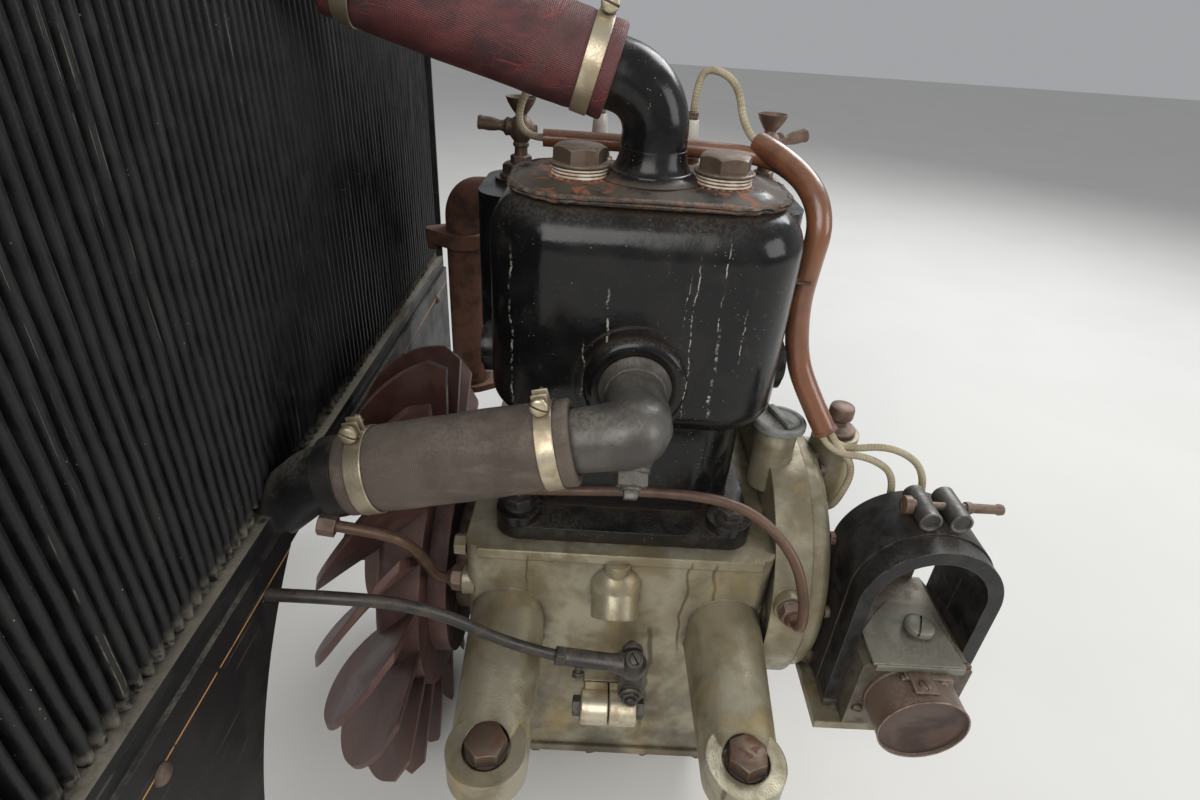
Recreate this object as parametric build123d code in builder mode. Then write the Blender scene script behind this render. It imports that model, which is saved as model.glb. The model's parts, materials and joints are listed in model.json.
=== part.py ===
"""Twin-cylinder engine of an early motor car, with its flywheel fan, magneto, pipes and dash radiator."""
import os
from math import cos, radians, sin

from build123d import *

os.makedirs("parts", exist_ok=True)

# Millimetres. X points forward along the crankshaft, Y to the car's left, Z up.
# The origin is the centre of the four arm bolts, on the plane where the arms rest on the frame.

# Fits
snug = 0.15               # gap round a piece pushed on or into another
running = 0.05            # gap round a turning shaft
sweep_gap = 5.0           # room round the turning fan

# Crankcase
case_rear_x = -118.0
case_front_x = 116.0
case_half_width = 96.0
deck_z = 98.0
case_floor_z = -140.0
case_corner = 10.0
cam_shelf_y = 135.0
cam_shelf_z = 40.0
deck_lip = 3.0
deck_lip_height = 9.0
sump_depth = 44.0
sump_half_width = 86.0
joint_flange = 8.0
oil_way_x = -3.0
oil_mouth_radius = 20.0

# Arms that rest on the frame
arm_x = 86.0
arm_y = 205.0
arm_width = 58.0
arm_height = 60.0
pad_radius = 27.0
pad_height = 20.0
arm_tip_height = 24.0
bolt_radius = 6.0
bolt_flats = 24.0
bolt_head = 12.0
bolt_reach = 38.0
bolt_shoulder = 0.4       # how much thicker a bolt is inside its arm

# Crankshaft and flywheel fan
journal_radius = 22.0
crank_flange_radius = 50.0
crank_flange = 12.0
fan_front_x = -153.0
fan_rear_x = -216.0
fan_radius = 190.0
fan_rim_outer = 116.0
fan_rim_length = 34.0
fan_boss_radius = 88.0
blade_count = 18
blade_wall = 8.0
blade_turn = 27.0         # degrees from a blade's front edge to its rear edge
blade_root = 12.0          # how deep a blade sits in the rim
blade_nick = 12.0         # corner cut off a blade's front
dog_radius = 16.0
dog_length = 26.0
tail_radius = 14.0
tail_length = 30.0
tail_groove = 3.0          # relief between the fan's hub and the tail

# Timing case
timing_depth = 29.0
cover_depth = 17.0
timing_radius = 110.0
timing_z = 32.0
cam_y = 85.0
cam_z = 60.0
cam_radius = 62.0
cover_inset = 5.0
filler_x = 120.0
filler_y = -15.0
filler_neck_radius = 16.0
filler_top_z = 168.0
filler_cap_radius = 21.0
filler_cap_height = 8.0
greaser_x = 178.0
greaser_y = 10.0
greaser_radius = 19.0
greaser_top_z = 150.0

# Cylinder block
cylinder_x = 47.0
base_half_x = 98.0
base_half_y = 86.0
base_flange = 12.0
barrel_half_x = 86.0
barrel_half_y = 58.0
barrel_corner = 40.0
jacket_half_x = 105.0
jacket_half_y = 68.0
jacket_corner = 48.0
jacket_low_z = 184.0
jacket_top_z = 344.0
jacket_foot_round = 20.0
jacket_head_round = 30.0
chest_half_x = 128.0
chest_near_y = 45.0
chest_far_y = 142.0
chest_low_z = 205.0
chest_top_z = 318.0
chest_corner = 24.0
valve_y = 98.0
valve_inner_x = 36.0
valve_outer_x = 98.0
chest_boss = 4.0
end_boss = 8.0
core_plug_z = 216.0
port_boss = 4.0
valve_cap_radius = 17.0
valve_cap_flats = 26.0
valve_cap_height = 8.0
spring_radius = 13.0
cup_body_z = 26.0
cup_body_radius = 10.5
cup_radius = 12.0
cup_height = 16.0
plug_terminal_z = 380.0
stud_x = 80.0
stud_y = 70.0
stud_boss_radius = 17.0
stud_boss = 8.0
stud_nut_flats = 17.0
stud_nut = 9.0

# Jacket cover and what stands on it
cover_half_x = 92.0
cover_half_y = 57.0
cover_corner = 46.0
cover_plate = 7.0
plug_y = -14.0
plug_flats = 31.0
plug_height = 10.0
plug_rim = 2.0
plug_rim_radius = 20.0
gasket = 3.2
gasket_gap = 0.4
gasket_radius = 18.5

# Water pipes
outlet_y = -8.0
outlet_pipe_radius = 21.5
outlet_corner_z = 403.7
outlet_slope = 0.284
outlet_bend = 32.0
outlet_flange_radius = 28.0
outlet_flange = 6.0
outlet_pipe_end = 62.0
inlet_x = -2.0
inlet_z = 228.8
inlet_ring_radius = 35.0
inlet_ring = 9.0
inlet_y = -130.0
inlet_slope = -0.239
inlet_pipe_radius = 20.0
inlet_bend = 28.0
inlet_pipe_end = 62.0
hose_wall = 6.2
upper_hose_start = 30.0
upper_hose_end = 203.0
lower_hose_start = 38.0
lower_hose_end = 182.0
stub_inside = 24.0        # how far a pipe reaches into a hose
clamp_wall = 1.4
clamp_width = 11.0
clamp_inset = 9.0
drain_flats = 17.0

# Radiator
radiator_front_x = -224.0
radiator_half_width = 345.0
tank_depth = 86.0
ledge_z = 164.0
bottom_tank_z = 130.0
top_tank_z = 443.0
top_tank_height = 70.0
tank_round = 12.0
tube_pitch = 12.0
tube_radius = 4.6
ledge_width = 13.0
side_plate = 3.0
side_plate_top_z = 505.0
foot_plate = 5.0
foot_length = 60.0
foot_hole_radius = 5.5
apron_plate = 3.0
apron_top_z = 149.0
arch_radius = 247.0
arch_centre_z = -71.0
arch_top_z = 133.0        # where the tank cuts the arch off level
filler_radius = 24.0

# Magneto
magneto_x = 224.0
magneto_z = 10.0
magnet_radius = 52.0
magnet_bar = 11.0
magnet_depth = 34.0
magnet_gap = 1.0
magnet_spring_z = 86.0
magnet_near_y = -120.0
magneto_floor_z = -30.0
magneto_body_top_z = 47.0
magneto_front_y = -137.0
breaker_radius = 33.0
breaker_length = 31.0
platform = 8.0
strap_wall = 1.4
strap_width = 34.0
barrel_pin_radius = 8.0
barrel_pin_length = 34.0
barrel_pin_x = 11.0
drive_y = -36.0
drive_z = 42.0
drive_radius = 12.0
magneto_foot = 6.0
distributor_z = 84.0
distributor_radius = 28.0

# Leads and small pipes
conduit_radius = 9.0
conduit_branch_radius = 6.5
conduit_bend = 30.0
branch_bend = 14.0
lead_radius = 2.8
oil_pipe_radius = 3.8
control_rod_radius = 4.2
rod_y = -178.0             # where the rod passes the apron
rod_z = 126.0
lever_x = 14.0
lever_z = -16.0
union_flats = 17.0
union_x = 129.0
union_z = 64.0

# Exhaust and inlet
exhaust_radius = 20.0
exhaust_y = 176.0
exhaust_z = 282.0
exhaust_drop_x = -168.0
exhaust_drop_y = 214.0
exhaust_joint_z = 232.0
exhaust_end_z = 60.0
exhaust_flange = 7.0
exhaust_flange_radius = 27.0
exhaust_bolt_x = 33.0
exhaust_ear = 8.0
port_radius = 17.0
inlet_port_z = 232.0
carburettor_y = 186.0
carburettor_z = 168.0

# Values worked out from the ones above
near_wall_y = -case_half_width
timing_front_x = case_front_x + timing_depth
cover_front_x = timing_front_x + cover_depth
base_top_z = deck_z + base_flange
jacket_cover_z = jacket_top_z + cover_plate
inlet_hose_radius = inlet_pipe_radius + snug + hose_wall
core_front_x = radiator_front_x - ledge_width
tank_rear_x = radiator_front_x - tank_depth
outlet_corner = Vector(0, outlet_y, outlet_corner_z)
inlet_corner = Vector(inlet_x, inlet_y, inlet_z)
outlet_line = Vector(-1, 0, outlet_slope).normalized()
inlet_line = Vector(-1, 0, inlet_slope).normalized()
outlet_stub_start = (abs(radiator_front_x)) / abs(outlet_line.X)
inlet_stub_start = (abs(radiator_front_x) + inlet_x) / abs(inlet_line.X)
barrel_pin_z = magnet_spring_z + magnet_radius + strap_wall + barrel_pin_radius + snug
magnet_middle_y = magnet_near_y + magnet_depth + magnet_gap / 2
magnet_far_y = magnet_near_y + 2 * magnet_depth + magnet_gap


def store(piece, name):
    """Labels a finished piece and writes its file."""
    piece.part.label = name
    export_step(piece.part, f"parts/{name}.step")


def bar(start, direction, radius, length, mode=Mode.ADD):
    """Adds or cuts a round bar that runs from its start along a direction."""
    with BuildSketch(Plane(origin=start, z_dir=direction)) as section:
        Circle(radius)
    extrude(section.sketch, amount=length, mode=mode)


def hexagon(start, direction, flats, length, turn=0.0):
    """Adds a hexagonal bar, such as a nut or a bolt's head."""
    with BuildSketch(Plane(origin=start, z_dir=direction)) as section:
        RegularPolygon(flats / 2, 6, major_radius=False, rotation=turn)
    extrude(section.sketch, amount=length)


def block(low, high, mode=Mode.ADD):
    """Adds or cuts a box between two corners."""
    size = Vector(*high) - Vector(*low)
    middle = (Vector(*high) + Vector(*low)) * 0.5
    with Locations(middle):
        Box(size.X, size.Y, size.Z, mode=mode)


def pad(plane, half_x, half_y, corner, depth, middle=(0, 0)):
    """Adds a plate with rounded corners on a plane."""
    with BuildSketch(plane) as section:
        with Locations(middle):
            RectangleRounded(2 * half_x, 2 * half_y, corner)
    extrude(section.sketch, amount=depth)


def tube(points, radii, radius, hole=0.0):
    """Adds a round pipe along straight runs joined by arcs, and opens it where it has a hole."""
    if len(points) > 2:
        with BuildLine() as route:
            FilletPolyline(*points, radius=radii)
    else:
        with BuildLine() as route:
            Line(*points)
    start = route.line @ 0
    heading = route.line % 0
    with BuildSketch(Plane(origin=start, z_dir=heading)) as section:
        Circle(radius)
        if hole:
            Circle(hole, mode=Mode.SUBTRACT)
    sweep(section.sketch, path=route.line)


def along(corner, line, distance):
    """Gives the point at a distance from a corner along a hose's line."""
    return corner + line * distance


def crankcase():
    """Builds the upper crankcase with its four arms, its cam shelf and its bosses."""
    length = case_front_x - case_rear_x
    with BuildPart() as case:
        with BuildSketch(Plane.YZ.offset(case_rear_x)):
            with BuildLine():
                Polyline(
                    (-case_half_width, 0),
                    (-case_half_width, deck_z),
                    (cam_shelf_y, deck_z),
                    (cam_shelf_y, cam_shelf_z),
                    (case_half_width, 0),
                    (case_half_width, case_floor_z),
                    (-case_half_width, case_floor_z),
                    close=True,
                )
            make_face()
        extrude(amount=length)
        fillet(case.edges().filter_by(Axis.Z), case_corner)
        block(
            (case_rear_x + case_corner, -case_half_width - deck_lip, deck_z - deck_lip_height),
            (case_front_x - case_corner, -case_half_width + case_corner, deck_z),
        )
        for x in (-arm_x, arm_x):
            for side in (-1, 1):
                root = Plane(origin=(x, side * (case_half_width - 14), 0), x_dir=(1, 0, 0), z_dir=(0, -1, 0))
                tip = Plane(origin=(x, side * arm_y, 0), x_dir=(1, 0, 0), z_dir=(0, -1, 0))
                # Columns: plane, width, height, radius of the top corners
                sections = (
                    (root, arm_width, arm_height, arm_width / 2 - 1),
                    (tip, 2 * pad_radius, arm_tip_height, arm_tip_height - 3),
                )
                faces = []
                for plane, width, height, corner in sections:
                    with BuildSketch(plane, mode=Mode.PRIVATE) as outline:
                        with Locations((0, height / 2)):
                            Rectangle(width, height)
                        fillet(outline.vertices().group_by(Axis.Y)[-1], corner)
                    faces.append(outline.sketch)
                loft(faces)
                with Locations((x, side * arm_y, 0)):
                    Cylinder(pad_radius, arm_tip_height, align=(Align.CENTER, Align.CENTER, Align.MIN))
                    with Locations((0, 0, pad_height)):
                        Cylinder(
                            bolt_flats / 2 + 4,
                            arm_height,
                            align=(Align.CENTER, Align.CENTER, Align.MIN),
                            mode=Mode.SUBTRACT,
                        )
                seat = bolt_radius + bolt_shoulder + snug
                bar((x, side * arm_y, 0), (0, 0, 1), seat, pad_height, Mode.SUBTRACT)
        # The oil way runs down the wall and opens into a mouth that faces down and out.
        bar((oil_way_x, near_wall_y, 56), (0, 0, 1), 10, deck_z - 63)
        mouth = Vector(oil_way_x, near_wall_y + 4, 66)
        with Locations(mouth):
            Sphere(oil_mouth_radius)
        bar(mouth, (0, -0.6, -0.8), oil_mouth_radius - 2, 27)
        bar(mouth + Vector(0, -3.6, -4.8), (0, -0.6, -0.8), oil_mouth_radius - 7, 22, Mode.SUBTRACT)
        # The spindle's boss and the seat of the split bearing stand on the near wall.
        bar((lever_x, near_wall_y + 20, lever_z), (0, -1, 0), 11, 30)
        block((-22, near_wall_y - 16, -52), (18, near_wall_y + 26, -28))
        bar((case_rear_x + 6, near_wall_y + 12, 52), (-1, 0, 0), 12, 10)
        hexagon((case_rear_x, near_wall_y + 12, deck_z - 10), (-1, 0, 0), 14, 9)
        bar((case_rear_x - 1, 0, 0), (1, 0, 0), journal_radius + running, length + 2, Mode.SUBTRACT)
    store(case, "crankcase")


def sump():
    """Builds the oil sump under the crankcase."""
    with BuildPart() as tray:
        pad(
            Plane.XY.offset(case_floor_z - joint_flange),
            (case_front_x - case_rear_x) / 2,
            case_half_width + deck_lip,
            14,
            joint_flange,
            ((case_front_x + case_rear_x) / 2, 0),
        )
        with BuildSketch(Plane.YZ.offset(case_rear_x + 10)) as outline:
            with BuildLine():
                ThreePointArc(
                    (-sump_half_width, case_floor_z - joint_flange),
                    (0, case_floor_z - sump_depth),
                    (sump_half_width, case_floor_z - joint_flange),
                )
                rim_z = case_floor_z - joint_flange
                Line((sump_half_width, rim_z), (-sump_half_width, rim_z))
            make_face()
        extrude(amount=case_front_x - case_rear_x - 20)
        hexagon((0, 0, case_floor_z - sump_depth + 3), (0, 0, -1), 22, 12)
    store(tray, "sump")


def timing_outline(plane, inset):
    """Draws the timing case's outline: the crank gear's round and the cam gear's round in one hull."""
    with BuildSketch(plane) as outline:
        with Locations((0, timing_z)):
            Circle(timing_radius - inset)
        with Locations((cam_y, cam_z)):
            Circle(cam_radius - inset)
        make_hull()
    return outline.sketch


def timing_case():
    """Builds the timing case, with the neck of the oil filler on top and its front cover."""
    with BuildPart() as case:
        extrude(timing_outline(Plane.YZ.offset(case_front_x), 0), amount=timing_depth)
        bar(
            (filler_x, filler_y, base_top_z + 2),
            (0, 0, 1),
            filler_neck_radius,
            filler_top_z - base_top_z - 2,
        )
        bar((union_x, -timing_radius + 14, union_z), (0, -1, 0), 12, 14)
        bar((case_front_x - 1, 0, 0), (1, 0, 0), journal_radius + running, timing_depth + 2, Mode.SUBTRACT)
    store(case, "timing_case")

    with BuildPart() as cover:
        extrude(timing_outline(Plane.YZ.offset(timing_front_x), cover_inset), amount=cover_depth)
        fillet(cover.faces().sort_by(Axis.X)[-1].edges(), 8)
        bar((timing_front_x, cam_y, cam_z), (1, 0, 0), 40, cover_depth + 8)
        bar((timing_front_x, 0, 0), (1, 0, 0), journal_radius + 8, cover_depth + 6)
        block((timing_front_x + 2, greaser_y - 13, 96), (greaser_x, greaser_y + 13, 134))
        bar((greaser_x, greaser_y, 88), (0, 0, 1), greaser_radius, greaser_top_z - 88)
        bar((timing_front_x - 1, 0, 0), (1, 0, 0), journal_radius + running, cover_depth + 8, Mode.SUBTRACT)
    store(cover, "timing_cover")

    with BuildPart() as cap:
        foot = (filler_x, filler_y, filler_top_z)
        bar(foot, (0, 0, 1), filler_cap_radius, filler_cap_height)
        fillet(cap.faces().sort_by(Axis.Z)[-1].edges(), 3)
        block(
            (foot[0] - 5, filler_y - filler_cap_radius + 2, filler_top_z + filler_cap_height - 1),
            (foot[0] + 5, filler_y + filler_cap_radius - 2, filler_top_z + filler_cap_height + 3),
        )
    store(cap, "filler_cap")

    with BuildPart() as greaser:
        bar((greaser_x, greaser_y, greaser_top_z), (0, 0, 1), 15, 5)
        bar((greaser_x, greaser_y, greaser_top_z + 5), (0, 0, 1), 7, 8)
        bar((greaser_x, greaser_y, greaser_top_z + 13), (0, 0, 1), 10, 13)
        fillet(greaser.faces().sort_by(Axis.Z)[-1].edges(), 3)
    store(greaser, "greaser")


def cylinder_block():
    """Builds the pair-cast block: flange, barrels, water jacket and valve chest."""
    with BuildPart() as casting:
        jacket_height = jacket_top_z - jacket_low_z
        pad(Plane.XY.offset(jacket_low_z), jacket_half_x, jacket_half_y, jacket_corner, jacket_height)
        fillet(casting.faces().sort_by(Axis.Z)[0].edges(), jacket_foot_round)
        fillet(casting.faces().sort_by(Axis.Z)[-1].edges(), jacket_head_round)
        pad(Plane.XY.offset(deck_z), base_half_x, base_half_y, 20, base_flange)
        pad(
            Plane.XY.offset(base_top_z), barrel_half_x, barrel_half_y, barrel_corner,
            jacket_low_z + jacket_foot_round - base_top_z,
        )
        for x in (-stud_x, stud_x):
            for y in (-stud_y, stud_y):
                bar((x, y, base_top_z), (0, 0, 1), stud_boss_radius, stud_boss)
        pad(
            Plane.XY.offset(chest_low_z), chest_half_x, (chest_far_y - chest_near_y) / 2, chest_corner,
            chest_top_z - chest_low_z, (0, (chest_far_y + chest_near_y) / 2),
        )
        for x in (-valve_outer_x, -valve_inner_x, valve_inner_x, valve_outer_x):
            bar((x, valve_y, chest_low_z - 14), (0, 0, 1), 12, 16)
            bar((x, valve_y, chest_top_z - 1), (0, 0, 1), 21, 5)
        bar((inlet_x, -jacket_half_y + 20, inlet_z), (0, -1, 0), inlet_ring_radius + 6, 22)
        for side in (-1, 1):
            bar((side * (jacket_half_x - 6), 0, core_plug_z), (side, 0, 0), 20, 6 + end_boss)
        for x in (-valve_outer_x, valve_outer_x):
            bar((x, chest_far_y - 4, exhaust_z), (0, 1, 0), port_radius + 8, 8)
        bar((0, chest_far_y - 4, inlet_port_z), (0, 1, 0), port_radius + 8, 8)
    store(casting, "cylinder_block")

    with BuildPart() as nuts:
        for x in (-stud_x, stud_x):
            for y in (-stud_y, stud_y):
                seat = base_top_z + stud_boss
                hexagon((x, y, seat), (0, 0, 1), stud_nut_flats, stud_nut)
                bar((x, y, seat + stud_nut), (0, 0, 1), 5, 4)
    store(nuts, "block_nuts")

    with BuildPart() as plugs:
        for side in (-1, 1):
            bar((side * (jacket_half_x + end_boss), 0, core_plug_z), (side, 0, 0), 15, 2.5)
    store(plugs, "core_plugs")


def jacket_cover():
    """Builds the cover on the jacket with its two hexagon plugs on double gaskets."""
    with BuildPart() as cover:
        pad(Plane.XY.offset(jacket_top_z), cover_half_x, cover_half_y, cover_corner, cover_plate)
        fillet(cover.faces().sort_by(Axis.Z)[-1].edges(), 4)
    store(cover, "jacket_cover")

    with BuildPart() as rings:
        for x in (-cylinder_x, cylinder_x):
            bar((x, plug_y, jacket_cover_z), (0, 0, 1), gasket_radius, gasket)
            bar((x, plug_y, jacket_cover_z + gasket + gasket_gap), (0, 0, 1), gasket_radius, gasket)
            bar((x, plug_y, jacket_cover_z + gasket), (0, 0, 1), gasket_radius - 2, gasket_gap)
    store(rings, "plug_gaskets")

    seat = jacket_cover_z + 2 * gasket + gasket_gap
    with BuildPart() as plugs:
        for x in (-cylinder_x, cylinder_x):
            bar((x, plug_y, seat), (0, 0, 1), plug_rim_radius, plug_rim)
            hexagon((x, plug_y, seat + plug_rim), (0, 0, 1), plug_flats, plug_height, 12)
    store(plugs, "jacket_plugs")


def water_pipes():
    """Builds the outlet elbow on the cover and the inlet elbow with its drain plug."""
    with BuildPart() as outlet:
        start = (0, outlet_y, jacket_cover_z + outlet_flange)
        bar((0, outlet_y, jacket_cover_z), (0, 0, 1), outlet_flange_radius, outlet_flange)
        end = along(outlet_corner, outlet_line, outlet_pipe_end)
        tube((start, outlet_corner, end), outlet_bend, outlet_pipe_radius)
        fillet(outlet.edges().filter_by(GeomType.CIRCLE).group_by(Axis.Z)[1], outlet_flange / 2)
    store(outlet, "water_outlet")

    with BuildPart() as inlet:
        ring_y = -jacket_half_y - 2
        bar((inlet_x, ring_y, inlet_z), (0, -1, 0), inlet_ring_radius, inlet_ring)
        fillet(inlet.faces().sort_by(Axis.Y)[0].edges(), 4)
        start = (inlet_x, ring_y - inlet_ring + 1, inlet_z)
        end = along(inlet_corner, inlet_line, inlet_pipe_end)
        tube((start, inlet_corner, end), inlet_bend, inlet_pipe_radius)
        bar((inlet_x - 2, inlet_y + 8, inlet_z - 8), (0, -0.35, -0.94), 11, 20)
    store(inlet, "water_inlet")

    with BuildPart() as drain:
        down = Vector(0, -0.35, -0.94).normalized()
        foot = Vector(inlet_x - 2, inlet_y + 8, inlet_z - 8) + down * 20
        bar(foot, down, 10, 3)
        hexagon(foot + down * 3, down, drain_flats, 11)
        bar(foot + down * 14, down, 6, 4)
    store(drain, "drain_plug")


def hoses():
    """Builds the two water hoses and the four clamps on them."""
    # Columns: name, corner of its pipes, line, start, end, bore
    lines = (
        ("upper_hose", outlet_corner, outlet_line, upper_hose_start, upper_hose_end, outlet_pipe_radius),
        ("lower_hose", inlet_corner, inlet_line, lower_hose_start, lower_hose_end, inlet_pipe_radius),
    )
    for name, corner, line, start, end, pipe in lines:
        bore = pipe + snug
        with BuildPart() as hose:
            tube((along(corner, line, start), along(corner, line, end)), 0, bore + hose_wall, bore)
        store(hose, name)
        for place, distance in (("front", start + clamp_inset), ("rear", end - clamp_inset - clamp_width)):
            band = name.replace("hose", "clamp") + "_" + place
            clamp(band, along(corner, line, distance), line, bore + hose_wall)


def clamp(name, start, line, hose_radius):
    """Builds one hose clamp: a band, its two raised ends and the screw between them."""
    inner = hose_radius + snug
    up = Vector(0, 0, 1) - line * line.Z
    up = up.normalized()
    side = line.cross(up)
    middle = start + line * (clamp_width / 2)
    with BuildPart() as ring:
        tube((start, start + line * clamp_width), 0, inner + clamp_wall, inner)
        with BuildSketch(Plane(origin=middle + up * (inner + 0.4), x_dir=line, z_dir=up)) as lug:
            Rectangle(clamp_width, 9)
        extrude(lug.sketch, amount=7)
        bar(middle + up * (inner + 6) - side * 11, side, 3.6, 22)
        bar(middle + up * (inner + 6) - side * 14, side, 6.4, 4)
    store(ring, name)


def radiator():
    """Builds the radiator: two tanks, the tube core, side plates with feet and the arched apron."""
    tank_middle_x = (radiator_front_x + tank_rear_x) / 2
    inner_half = radiator_half_width - side_plate
    with BuildPart() as bottom:
        pad(
            Plane.XZ.offset(-inner_half),
            tank_depth / 2,
            (ledge_z - bottom_tank_z) / 2,
            tank_round,
            2 * inner_half,
            (tank_middle_x, (ledge_z + bottom_tank_z) / 2),
        )
        block((radiator_front_x - tank_round, -inner_half, ledge_z - 6), (radiator_front_x, inner_half, ledge_z))
        nozzle = along(inlet_corner, inlet_line, lower_hose_end - stub_inside)
        elbow = along(inlet_corner, inlet_line, lower_hose_end + 22)
        tube((nozzle, elbow, Vector(radiator_front_x - 22, inlet_y, bottom_tank_z + 10)), 24, inlet_pipe_radius)
        collar = along(inlet_corner, inlet_line, lower_hose_end + 1)
        tube((collar, collar + inlet_line * 12), 0, inlet_hose_radius - 1.5)
        block(
            (tank_rear_x, inlet_y - 2 * inlet_pipe_radius, ledge_z),
            (core_front_x + 2, inlet_y + 2 * inlet_pipe_radius, ledge_z + 3 * inlet_pipe_radius),
            Mode.SUBTRACT,
        )
        block(
            (radiator_front_x - apron_plate, inlet_y - 2 * inlet_pipe_radius, bottom_tank_z - inlet_pipe_radius),
            (radiator_front_x + 2 * apron_plate, inlet_y + 2 * inlet_pipe_radius, apron_top_z),
            Mode.SUBTRACT,
        )
    store(bottom, "bottom_tank")

    with BuildPart() as top:
        pad(
            Plane.XZ.offset(-inner_half),
            tank_depth / 2,
            top_tank_height / 2,
            tank_round * 2,
            2 * inner_half,
            (tank_middle_x, top_tank_z + top_tank_height / 2),
        )
        nozzle = along(outlet_corner, outlet_line, upper_hose_end - stub_inside)
        tube((nozzle, along(outlet_corner, outlet_line, outlet_stub_start + 20)), 0, outlet_pipe_radius)
        bar((tank_middle_x, 0, top_tank_z + top_tank_height - 3), (0, 0, 1), filler_radius, 16)
    store(top, "top_tank")

    with BuildPart() as cap:
        base = top_tank_z + top_tank_height + 13
        bar((tank_middle_x, 0, base), (0, 0, 1), filler_radius + 5, 12)
        bar((tank_middle_x, 0, base + 12), (0, 0, 1), filler_radius - 6, 10)
        fillet(cap.faces().sort_by(Axis.Z)[-1].edges(), 5)
    store(cap, "radiator_cap")

    tube_count = int(2 * (inner_half - 6) / tube_pitch)
    core_rear_x = tank_rear_x + ledge_width
    height = top_tank_z - ledge_z
    first = -(tube_count - 1) * tube_pitch / 2
    with BuildPart() as core:
        with BuildSketch(Plane.XY.offset(ledge_z)):
            half = (tube_count * tube_pitch) / 2
            with Locations(((core_front_x + core_rear_x) / 2, 0)):
                Rectangle(core_front_x - core_rear_x - 2 * tube_radius, 2 * half)
            for index in range(tube_count):
                y = first + index * tube_pitch
                with Locations((core_front_x - tube_radius, y), (core_rear_x + tube_radius, y)):
                    Circle(tube_radius)
        extrude(amount=height)
    store(core, "radiator_core")

    for name, side in (("radiator_side_near", -1), ("radiator_side_far", 1)):
        outer = side * radiator_half_width
        inner = side * inner_half
        low_y, high_y = min(outer, inner), max(outer, inner)
        with BuildPart() as plate:
            block((tank_rear_x, low_y, 0), (radiator_front_x, high_y, side_plate_top_z))
            foot_inner = side * (radiator_half_width - foot_length)
            block(
                (tank_rear_x, min(foot_inner, outer), 0),
                (radiator_front_x - apron_plate, max(foot_inner, outer), foot_plate),
            )
            hole = (tank_middle_x, (foot_inner + outer) / 2, -1)
            bar(hole, (0, 0, 1), foot_hole_radius, foot_plate + 2, Mode.SUBTRACT)
        store(plate, name)

    with BuildPart() as apron:
        with BuildSketch(Plane.YZ.offset(radiator_front_x)):
            with Locations((0, apron_top_z / 2)):
                Rectangle(2 * radiator_half_width, apron_top_z)
            with BuildSketch(mode=Mode.PRIVATE) as arch:
                with Locations((0, arch_centre_z)):
                    Circle(arch_radius)
                with Locations((0, arch_top_z + arch_radius / 2)):
                    Rectangle(2 * arch_radius, arch_radius, mode=Mode.SUBTRACT)
            add(arch.sketch, mode=Mode.SUBTRACT)
        extrude(amount=apron_plate)
        rod_hole = (radiator_front_x - 1, rod_y, rod_z)
        bar(rod_hole, (1, 0, 0), control_rod_radius + 1, apron_plate + 2, Mode.SUBTRACT)
    store(apron, "apron")


def turning_parts():
    """Builds what turns: the crankshaft and the flywheel with its ring of fan blades."""
    rear = case_rear_x - 8
    with BuildPart() as crank:
        bar((rear - crank_flange, 0, 0), (1, 0, 0), crank_flange_radius, crank_flange)
        bar((rear, 0, 0), (1, 0, 0), journal_radius, cover_front_x + 10 - rear)
        bar((cover_front_x + 10, 0, 0), (1, 0, 0), dog_radius, dog_length)
        with BuildSketch(Plane.YZ.offset(cover_front_x + 10 + dog_length - 9)):
            Rectangle(2 * dog_radius + 2, dog_radius * 0.7)
        extrude(amount=10, mode=Mode.SUBTRACT)
        bar((fan_rear_x, 0, 0), (1, 0, 0), tail_radius, rear - fan_rear_x - 1)
        bar((fan_rear_x - tail_groove, 0, 0), (1, 0, 0), tail_radius - 1.5, tail_groove)
        bar((fan_rear_x - tail_groove, 0, 0), (-1, 0, 0), tail_radius, tail_length)
    store(crank, "crankshaft")

    web_x = rear - crank_flange
    root = fan_rim_outer - blade_root
    blade_round = (fan_radius - root) / 2 - 0.5
    with BuildPart() as wheel:
        bar((fan_front_x, 0, 0), (1, 0, 0), fan_boss_radius, web_x - fan_front_x)
        bar((fan_front_x, 0, 0), (-1, 0, 0), fan_rim_outer, fan_rim_length)
        fillet(wheel.faces().sort_by(Axis.X)[0].edges(), 6)
        bar((fan_rear_x, 0, 0), (1, 0, 0), crank_flange_radius, fan_front_x - fan_rear_x - fan_rim_length)
    hub = wheel.part
    with BuildPart() as blade:
        sections = []
        for x, turn in ((fan_front_x, 0.0), (fan_rear_x, blade_turn)):
            with BuildSketch(Plane.YZ.offset(x), mode=Mode.PRIVATE) as section:
                with Locations(Location((0, 0, 0), (0, 0, turn))):
                    with Locations(((root - 4 + fan_radius + 6) / 2, 0)):
                        Rectangle(fan_radius + 10 - root, blade_wall)
            sections.append(section.sketch)
        loft(sections)
        with BuildSketch(Plane.XZ) as envelope:
            with BuildLine():
                turn_x = fan_rear_x + blade_round
                RadiusArc((turn_x, root), (fan_rear_x, root + blade_round), blade_round)
                Line((fan_rear_x, root + blade_round), (fan_rear_x, fan_radius - blade_round))
                RadiusArc((fan_rear_x, fan_radius - blade_round), (turn_x, fan_radius), blade_round)
                Polyline(
                    (turn_x, fan_radius),
                    (fan_front_x - blade_nick, fan_radius),
                    (fan_front_x, fan_radius - blade_nick),
                    (fan_front_x, root),
                    (turn_x, root),
                )
            make_face()
        revolve(envelope.sketch, axis=Axis.X, mode=Mode.INTERSECT)
    with BuildPart() as fan:
        add(hub)
        step = 360 / blade_count
        for index in range(blade_count):
            add(blade.part.rotate(Axis.X, index * step))
        bar((fan_rear_x - 1, 0, 0), (1, 0, 0), tail_radius + snug, web_x - fan_rear_x + 2, Mode.SUBTRACT)
    store(fan, "flywheel_fan")


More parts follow.
